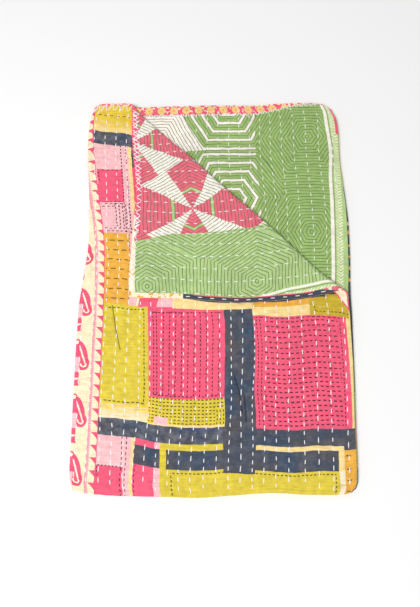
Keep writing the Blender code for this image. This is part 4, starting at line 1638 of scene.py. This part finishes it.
@dataclass
class QuiltSheet:
    """The one sheet of layered cotton, cut fine enough for its quilting and folded."""

    cloth: FoldedCloth = field(default_factory=FoldedCloth)
    relief: QuiltedRelief = field(default_factory=QuiltedRelief)
    top_columns: float = 0.0052
    under_columns: float = 0.034
    top_rows: float = 0.0058
    under_rows: float = 0.0115
    hem_steps: tuple = (0.0, 0.0012, 0.0040, 0.0080)
    fold_steps: int = 12
    crease_steps: int = 12
    crease_reach: float = 0.012
    creased_columns: tuple = ((0.073, 0.099, 0.0013), (0.342, 0.376, 0.0014))
    left_fold_reach: float = 0.012
    front_fold_reach: float = 0.010
    roll_middle: float = 0.009
    roll_reach: float = 0.016
    roll_share: float = 0.35
    inner_share: float = 0.55
    underside_share: float = 0.15

    def fold_zone(self, radius: float) -> list[float]:
        """Return the places across a fold and just past it."""
        half = math.pi * radius / 2
        return [half * (2.0 * i / self.fold_steps - 1.0) for i in range(self.fold_steps + 1)]

    def places(self, hem: float, radius: float, fine: float, coarse: float) -> list[float]:
        """Return the grid's places from one hem to the other.

        Args:
            hem: How far the hems are from the fold.
            radius: The fold's radius.
            fine: The spacing on the visible side.
            coarse: The spacing on the other.

        Returns:
            The places, in rising order.
        """
        zone = self.fold_zone(radius)
        inner = hem - self.hem_steps[-1]
        before = [-hem + step for step in self.hem_steps[:-1]] + spread(-inner, zone[0], coarse)
        creased = self.creased_columns if hem == SIDE_HEM else ()
        after = spread(zone[-1], inner, fine, creased)[1:] + [hem - step for step in reversed(self.hem_steps)]
        return before + zone + after

    def flat_grid(self) -> bmesh.types.BMesh:
        """Return the unfolded sheet's grid, parted round the turned corner's crease.

        Returns:
            The grid, one face thick.
        """
        across = self.places(SIDE_HEM, self.cloth.left_radius, self.top_columns, self.under_columns)
        along = self.places(END_HEM, self.cloth.front_radius, self.top_rows, self.under_rows)
        sheet = bmesh.new()
        bmesh.ops.create_grid(sheet, x_segments=len(across) - 1, y_segments=len(along) - 1, size=0.5)
        for vert in sheet.verts:
            column = round((vert.co.x + 0.5) * (len(across) - 1))
            row = round((vert.co.y + 0.5) * (len(along) - 1))
            vert.co = (across[column], along[row], 0.0)
        self.part_crease(sheet)
        return sheet

    def part_crease(self, sheet: bmesh.types.BMesh) -> None:
        """Part the top layer's faces along the roll of the turned corner.

        Args:
            sheet: The unfolded sheet's grid.
        """
        cloth = self.cloth
        along, across = cloth.crease_axes()
        to_sheet = Vector((
            math.pi * cloth.left_radius / 2 - cloth.left_x,
            math.pi * cloth.front_radius / 2 - cloth.front_y,
        ))
        length = (cloth.crease_at_right_hem - cloth.crease_at_back_hem).length
        for step in range(self.crease_steps + 1):
            share = step / self.crease_steps
            ends = []
            for way in (0.0, length):
                off = math.pi * cloth.roll_radius(way) * share
                ends.append(cloth.crease_at_back_hem + along * way + across * off + to_sheet)
            run = (ends[1] - ends[0]).normalized()
            normal = Vector((-run.y, run.x, 0.0))
            start = Vector((ends[0].x, ends[0].y, 0.0))
            middles = {face: face.calc_center_median() for face in sheet.faces}
            faces = [
                face for face, middle in middles.items()
                if middle.x > 0.0 and middle.y > 0.0 and abs((middle - start).dot(normal)) < self.crease_reach
            ]
            # a dict keeps each edge and corner once, in the same order at every run
            edges = list(dict.fromkeys(edge for face in faces for edge in face.edges))
            verts = list(dict.fromkeys(vert for face in faces for vert in face.verts))
            bmesh.ops.bisect_plane(
                sheet, geom=faces + edges + verts, dist=0.0005, plane_co=start, plane_no=normal
            )

    def mark(self, sheet: bmesh.types.BMesh) -> None:
        """Write the places on the cloth and on its prints to the sheet's UV layers.

        Args:
            sheet: The unfolded sheet.
        """
        names = ("cloth", "print", "green", "side", "hem")
        layers = {name: sheet.loops.layers.uv.new(name) for name in names}
        for vert in sheet.verts:
            u, v = vert.co.x, vert.co.y
            over = follow(CORNER_TURNED_OVER if v > 0.0 else TURNED_OVER, abs(u))
            green = green_place(self.cloth, u, v)
            marks = {
                "cloth": (u, v),
                "print": print_place(u, v),
                "green": green,
                "side": (abs(green[0]) - follow(STRIPE_LINE, green[1]), green[1]),
                "hem": (over - (END_HEM - abs(v)), END_HEM - abs(v)),
            }
            for loop in vert.link_loops:
                for name, layer in layers.items():
                    loop[layer].uv = marks[name]

    def build(self) -> bpy.types.Object:
        """Cut the sheet, give it its thickness, fold it and return its object.

        Returns:
            The object.
        """
        sheet = self.flat_grid()
        bmesh.ops.solidify(sheet, geom=list(sheet.faces), thickness=-1.0)
        bmesh.ops.recalc_face_normals(sheet, faces=list(sheet.faces))
        self.mark(sheet)
        for face in sheet.faces:
            face.smooth = True
            face.material_index = 1 if face.normal.z < -0.5 else 0
        middle = sum(vert.co.z for vert in sheet.verts) / len(sheet.verts)
        seen = {}
        for vert in sheet.verts:
            u, v = vert.co.x, vert.co.y
            key = (round(u, 6), round(v, 6))
            if key not in seen:
                place, facing = self.cloth.surface(u, v)
                half = self.cloth.thickness / 2 * self.relief.thickness_share(u, v)
                raised = self.relief_share(u, v) * self.relief.height(u, v)
                seen[key] = (place, facing, half, -abs(raised) if u < 0.0 < v else raised)
            place, facing, half, raised = seen[key]
            side = 1.0 if vert.co.z > middle else -1.0
            vert.co = place + facing * (raised + side * half)
        mesh = bpy.data.meshes.new("quilt_cloth")
        sheet.to_mesh(mesh)
        sheet.free()
        quilt = bpy.data.objects.new("quilt_cloth", mesh)
        bpy.context.scene.collection.objects.link(quilt)
        return quilt

    def relief_share(self, u: float, v: float) -> float:
        """Return how much of the relief shows, which is less where layers lie tight on each other.

        Args:
            u: The place across the unfolded sheet.
            v: The place along it.

        Returns:
            The share.
        """
        from_fold = min(abs(u) / self.left_fold_reach, abs(v) / self.front_fold_reach)
        layer = 1.0 if u > 0.0 and v > 0.0 else self.inner_share
        if u < 0.0 < v:
            layer = self.underside_share
        roll = 1.0
        if u > 0.0 and v > 0.0:
            off_roll = abs(self.cloth.beyond_crease(u, v) - self.roll_middle)
            roll = self.roll_share + 0.65 * ease(off_roll / self.roll_reach)
        return layer * roll * ease(from_fold)

    def dress(self, quilt: bpy.types.Object) -> None:
        """Give the sheet its two prints, hang it on the root body and hide the imported solid.

        Args:
            quilt: The sheet's object.
        """
        quilt.data.materials.append(FaceAPrint().material_of())
        quilt.data.materials.append(FaceBPrint().material_of())
        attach(quilt, "root")
        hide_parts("quilt")


class Face(Enum):
    """The two faces of the cloth."""

    A = 1.0
    B = -1.0


Stitch = namedtuple("Stitch", "u0 v0 u1 v1 face width")


@dataclass
class ThreadWork:
    """Stitches of white thread, each laid on the folded cloth."""

    sheet: QuiltSheet
    name: str
    stitches: list[Stitch]
    height: float = 0.00075
    sunk_ends: float = 0.9
    bluntness: float = 0.55

    def template(self) -> bpy.types.Mesh:
        """Return one blunt stitch, two units long, as a mesh.

        Returns:
            The mesh.
        """
        shape = bmesh.new()
        bmesh.ops.create_uvsphere(shape, u_segments=6, v_segments=6, radius=1.0)
        for vert in shape.verts:
            vert.co.z = math.copysign(abs(vert.co.z) ** self.bluntness, vert.co.z)
        for face in shape.faces:
            face.smooth = True
        mesh = bpy.data.meshes.new("stitch")
        shape.to_mesh(mesh)
        shape.free()
        return mesh

    def copies(self, template: bpy.types.Mesh) -> bpy.types.Mesh:
        """Return the template repeated once for each stitch, in one mesh.

        Args:
            template: The one stitch.

        Returns:
            The mesh of all of them, in a row.
        """
        maker = bpy.data.objects.new("stitch", template)
        bpy.context.scene.collection.objects.link(maker)
        array = maker.modifiers.new("stitches", "ARRAY")
        array.count = len(self.stitches)
        array.use_relative_offset = False
        array.use_constant_offset = True
        array.constant_offset_displace = (4.0, 0.0, 0.0)
        array.use_merge_vertices = False
        view = bpy.context.evaluated_depsgraph_get()
        mesh = bpy.data.meshes.new_from_object(maker.evaluated_get(view))
        bpy.data.objects.remove(maker, do_unlink=True)
        mesh.name = self.name
        return mesh

    def frame_at(self, stitch: Stitch, way: float) -> tuple[Vector, Vector]:
        """Return the cloth's surface and outward direction at a share of the way along a stitch.

        Args:
            stitch: The stitch.
            way: The way along it, from -1 to 1.

        Returns:
            The place on the surface and the direction.
        """
        share = (way + 1.0) / 2.0
        u = stitch.u0 + (stitch.u1 - stitch.u0) * share
        v = stitch.v0 + (stitch.v1 - stitch.v0) * share
        sheet = self.sheet
        place, facing = sheet.cloth.surface(u, v)
        half = sheet.cloth.thickness / 2 * sheet.relief.thickness_share(u, v)
        raised = sheet.relief_share(u, v) * sheet.relief.height(u, v)
        outward = facing * stitch.face.value
        return place + facing * raised + outward * half, outward

    def build(self) -> bpy.types.Object:
        """Lay every stitch on the cloth and return the object.

        Returns:
            The object.
        """
        template = self.template()
        size = len(template.vertices)
        local = [vert.co.copy() for vert in template.vertices]
        levels = sorted({round(co.z, 4) for co in local})
        mesh = self.copies(template)
        for index, stitch in enumerate(self.stitches):
            frames = [self.frame_at(stitch, level) for level in levels]
            run = (frames[-1][0] - frames[0][0]).normalized()
            for corner, co in enumerate(local):
                place, outward = frames[levels.index(round(co.z, 4))]
                sideways = outward.cross(run).normalized()
                proud = self.height * (co.y - self.sunk_ends * abs(co.z) ** 4)
                mesh.vertices[index * size + corner].co = (
                    place + sideways * co.x * stitch.width / 2 + outward * proud
                )
        thread = bpy.data.objects.new(self.name, mesh)
        bpy.context.scene.collection.objects.link(thread)
        return thread

    def dress(self, thread: bpy.types.Object, finish: bpy.types.Material) -> None:
        """Give the stitches their thread and say what they ride on.

        Args:
            thread: The stitches' object.
            finish: The thread's material.
        """
        thread.data.materials.clear()
        thread.data.materials.append(finish)
        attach(thread, "root")


def chance(key: float, second: float = 0.0) -> float:
    """Return a steady number from -1 to 1 that one or two keys pick."""
    return noise.cell(Vector((key * 3.17 + 0.5, second * 5.71 + 0.5, 7.5)))


# The running stitches: each face's width, half the length of Face B's, how far the last one lies from the
# end hem and the first from the front fold, and how far to a side a stitch slants
STITCH_WIDTH = {Face.A: 0.00225, Face.B: 0.00205}
SHORT_HALF = 0.0051
LAST_INSET = 0.015
FIRST_INSET = 0.012
SLANT = 0.0005


def running_stitches(sheet: QuiltSheet, face: Face) -> list[Stitch]:
    """Return the running stitches that show on one face.

    Args:
        sheet: The sheet that they are in.
        face: Face A shows them on the top layer; Face B on the second layer and the turned corner.

    Returns:
        One entry for each stitch.
    """
    relief, made = sheet.relief, []
    ways = (1.0,) if face is Face.A else (1.0, -1.0)
    width = STITCH_WIDTH[face]
    for row, (_, _, first) in enumerate(STITCH_ROWS):
        for way in ways:
            pitch = relief.pitch(row, way)
            for index in range(int((END_HEM - LAST_INSET - first) / pitch) + 1):
                middle = way * (first + (index + 0.06 * chance(row, index)) * pitch)
                half = pitch * (0.30 + 0.03 * chance(row + 40, index)) if face is Face.A else SHORT_HALF
                u0, u1 = (relief.row_place(row, middle + end * half) for end in (-1.0, 1.0))
                if abs(middle) > FIRST_INSET and shows(sheet, face, (u0 + u1) / 2, middle):
                    slant = SLANT * chance(row + 80, index)
                    made.append(Stitch(u0 - slant, middle - half, u1 + slant, middle + half, face, width))
    return made


def shows(sheet: QuiltSheet, face: Face, u: float, v: float) -> bool:
    """Return whether a stitch there can be seen.

    Args:
        sheet: The sheet.
        face: The face that the stitch is on.
        u: The place across the unfolded sheet.
        v: The place along it.

    Returns:
        True where nothing lies over it.
    """
    if face is Face.A:
        return u > 0.007 and v > 0.0 and sheet.cloth.beyond_crease(u, v) < -0.004
    if v > 0.0:
        return sheet.cloth.beyond_crease(u, v) > 0.002
    return sheet.cloth.beyond_crease(u, -v) > -0.012 and u > 0.10


def hem_stitches() -> list[Stitch]:
    """Return the slanting and crossed stitches that hold the turned hems.

    Returns:
        One entry for each stitch.
    """
    made = []

    def zigzag(start: float, stop: float, step: float, face: Face, width: float, line: Callable) -> None:
        """Add a line of slanting stitches that run between the two heights that line gives.

        Args:
            start: Where the line starts along the hem.
            stop: Where it stops.
            step: How far apart the stitches are.
            face: The face that they are on.
            width: The thread's width.
            line: Gives the two heights at a place.
        """
        for index in range(int((stop - start) / step)):
            at = start + index * step
            low, high = line(at)
            ends = (low, high) if index % 2 else (high, low)
            stray = 0.0008 * chance(index, low)
            made.append(Stitch(at, ends[0] + stray, at + step * 0.85, ends[1] - stray, face, width))

    def crosses(start: float, stop: float, step: float, width: float, low: float) -> None:
        """Add uneven crossed stitches along the corner's left hem, from the hem in to a height.

        Args:
            start: Where they start along the hem.
            stop: Where they stop.
            step: How far apart they are.
            width: The thread's width.
            low: The height that they reach in to.
        """
        for index in range(int((stop - start) / step)):
            for way in (0.0, 1.0):
                at = start + (index + 0.22 * chance(index, way)) * step
                inner = low + 0.0030 * chance(index + 60, way)
                outer = 0.8999 - 0.0016 * abs(chance(index, 3.0))
                first, last = (inner, outer) if way else (outer, inner)
                end = at + step * (1.1 + 0.2 * chance(index + 20, way))
                made.append(Stitch(at, first, end, last, Face.B, width))

    zigzag(0.004, 0.124, step=0.0085, face=Face.A, width=0.0021, line=lambda at: (0.8985, 0.8790))
    zigzag(0.095, 0.565, step=0.0064, face=Face.B, width=0.0023, line=over_edge)
    crosses(0.112, 0.262, step=0.0112, width=0.0024, low=0.8800)
    crosses(0.262, 0.345, step=0.0125, width=0.0022, low=0.8840)
    zigzag(0.345, 0.455, step=0.0095, face=Face.B, width=0.0024, line=beside_crosses)
    crosses(0.400, 0.590, step=0.0120, width=0.0024, low=0.8870)
    # the running stitches of the strip that is turned over along the corner's side hem
    across, start, pitch, half = 0.5945, 0.482, 0.0263, 0.0055
    for index in range(16):
        at = start + index * pitch
        made.append(Stitch(across, at - half, across, at + half, Face.B, 0.0021))
    return made


def beside_crosses(at: float) -> tuple[float, float]:
    """Return the two heights of the slanting thread between the corner's crossed stitches."""
    return 0.8975, 0.8870 + 0.0015 * chance(at * 300)


def over_edge(at: float) -> tuple[float, float]:
    """Return the two heights of the thread over the edge of the second layer's turned hem."""
    over = follow(TURNED_OVER, at)
    return over - END_HEM + 0.0040, over - END_HEM - 0.0030


# ----------------------------------------
# The stage


@dataclass(frozen=True)
class Studio:
    """The floor, the soft light and the camera."""

    elevation: float = 77.48
    azimuth: float = -0.03
    distance: float = 1.1322
    focal_pixels: float = 502.97
    picture_height: int = 607
    surround: float = 0.47
    aim: Vector = Vector((-0.0074, -0.0449, 0.0))

    def floor(self) -> None:
        """Lay a plain pale floor."""
        shape = bmesh.new()
        bmesh.ops.create_grid(shape, x_segments=1, y_segments=1, size=4.0)
        mesh = bpy.data.meshes.new("floor")
        shape.to_mesh(mesh)
        shape.free()
        floor = bpy.data.objects.new("floor", mesh)
        bpy.context.scene.collection.objects.link(floor)
        paint = bpy.data.materials.new("pale_floor")
        paint.use_nodes = True
        shader = paint.node_tree.nodes["Principled BSDF"]
        shader.inputs["Base Color"].default_value = (0.97, 0.97, 0.97, 1.0)
        shader.inputs["Roughness"].default_value = 0.9
        shader.inputs["Specular IOR Level"].default_value = 0.1
        mesh.materials.append(paint)

    def lamp(self, name: str, place: tuple, size: float, power: float) -> None:
        """Hang one large square soft light that faces the quilt.

        Args:
            name: The lamp's name.
            place: Where it hangs.
            size: The length of its side.
            power: Its power, in watts.
        """
        light = bpy.data.lights.new(name, "AREA")
        light.shape = "SQUARE"
        light.size = size
        light.energy = power
        lamp = bpy.data.objects.new(name, light)
        bpy.context.scene.collection.objects.link(lamp)
        lamp.location = place
        lamp.rotation_euler = (-Vector(place)).to_track_quat("-Z", "Y").to_euler()

    def light(self) -> None:
        """Set an even pale surround and two soft lights."""
        world = bpy.data.worlds.new("studio")
        world.use_nodes = True
        world.node_tree.nodes["Background"].inputs["Color"].default_value = (1.0, 1.0, 1.0, 1.0)
        world.node_tree.nodes["Background"].inputs["Strength"].default_value = self.surround
        bpy.context.scene.world = world
        self.lamp("key_light", (-1.35, -1.20, 2.95), size=1.3, power=78.0)
        self.lamp("fill_light", (1.2, 1.4, 2.2), size=1.8, power=5.0)

    def camera(self, shift: Vector) -> None:
        """Set the camera, moved with the quilt's centring.

        Args:
            shift: How far the quilt was moved.
        """
        lens = bpy.data.cameras.new("camera")
        lens.sensor_fit = "VERTICAL"
        lens.sensor_height = 36.0
        lens.lens = self.focal_pixels / self.picture_height * lens.sensor_height
        camera = bpy.data.objects.new("camera", lens)
        bpy.context.scene.collection.objects.link(camera)
        up, turn = math.radians(self.elevation), math.radians(self.azimuth)
        forward = Vector((math.sin(turn) * math.cos(up), math.cos(turn) * math.cos(up), -math.sin(up)))
        camera.location = self.aim + shift - forward * self.distance
        camera.rotation_euler = forward.to_track_quat("-Z", "Y").to_euler()
        bpy.context.scene.camera = camera


def centring(quilt: bpy.types.Object) -> Vector:
    """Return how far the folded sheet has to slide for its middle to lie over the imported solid's.

    Args:
        quilt: The folded sheet.

    Returns:
        The slide, level with the floor.
    """
    low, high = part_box("quilt")
    places = [vert.co for vert in quilt.data.vertices]
    shift = Vector((0.0, 0.0, 0.0))
    for axis in (0, 1):
        own = (min(co[axis] for co in places) + max(co[axis] for co in places)) / 2
        shift[axis] = (low[axis] + high[axis]) / 2 - own
    return shift


def main() -> None:
    """Build the quilt and its stitching, dress them and set the stage."""
    logging.basicConfig(level=logging.INFO, format="%(message)s")
    sheet = QuiltSheet()
    quilt = sheet.build()
    shift = centring(quilt)
    sheet.dress(quilt)
    LOG.info("%s: %d faces", quilt.name, len(quilt.data.polygons))

    thread_finish = ThreadFinish().material_of()
    works = (
        ThreadWork(sheet, "running_stitches_face_a", running_stitches(sheet, Face.A)),
        ThreadWork(sheet, "running_stitches_face_b", running_stitches(sheet, Face.B)),
        ThreadWork(sheet, "hem_stitches", hem_stitches()),
    )
    threads = []
    for work in works:
        thread = work.build()
        work.dress(thread, thread_finish)
        threads.append(thread)
        LOG.info("%s: %d stitches", thread.name, len(work.stitches))
    for piece in (quilt, *threads):
        piece.data.transform(Matrix.Translation(shift))

    studio = Studio()
    studio.floor()
    studio.light()
    studio.camera(shift)
    bpy.context.scene.view_settings.view_transform = "Standard"
    LOG.info("stage set")


if __name__ == "__main__":
    main()
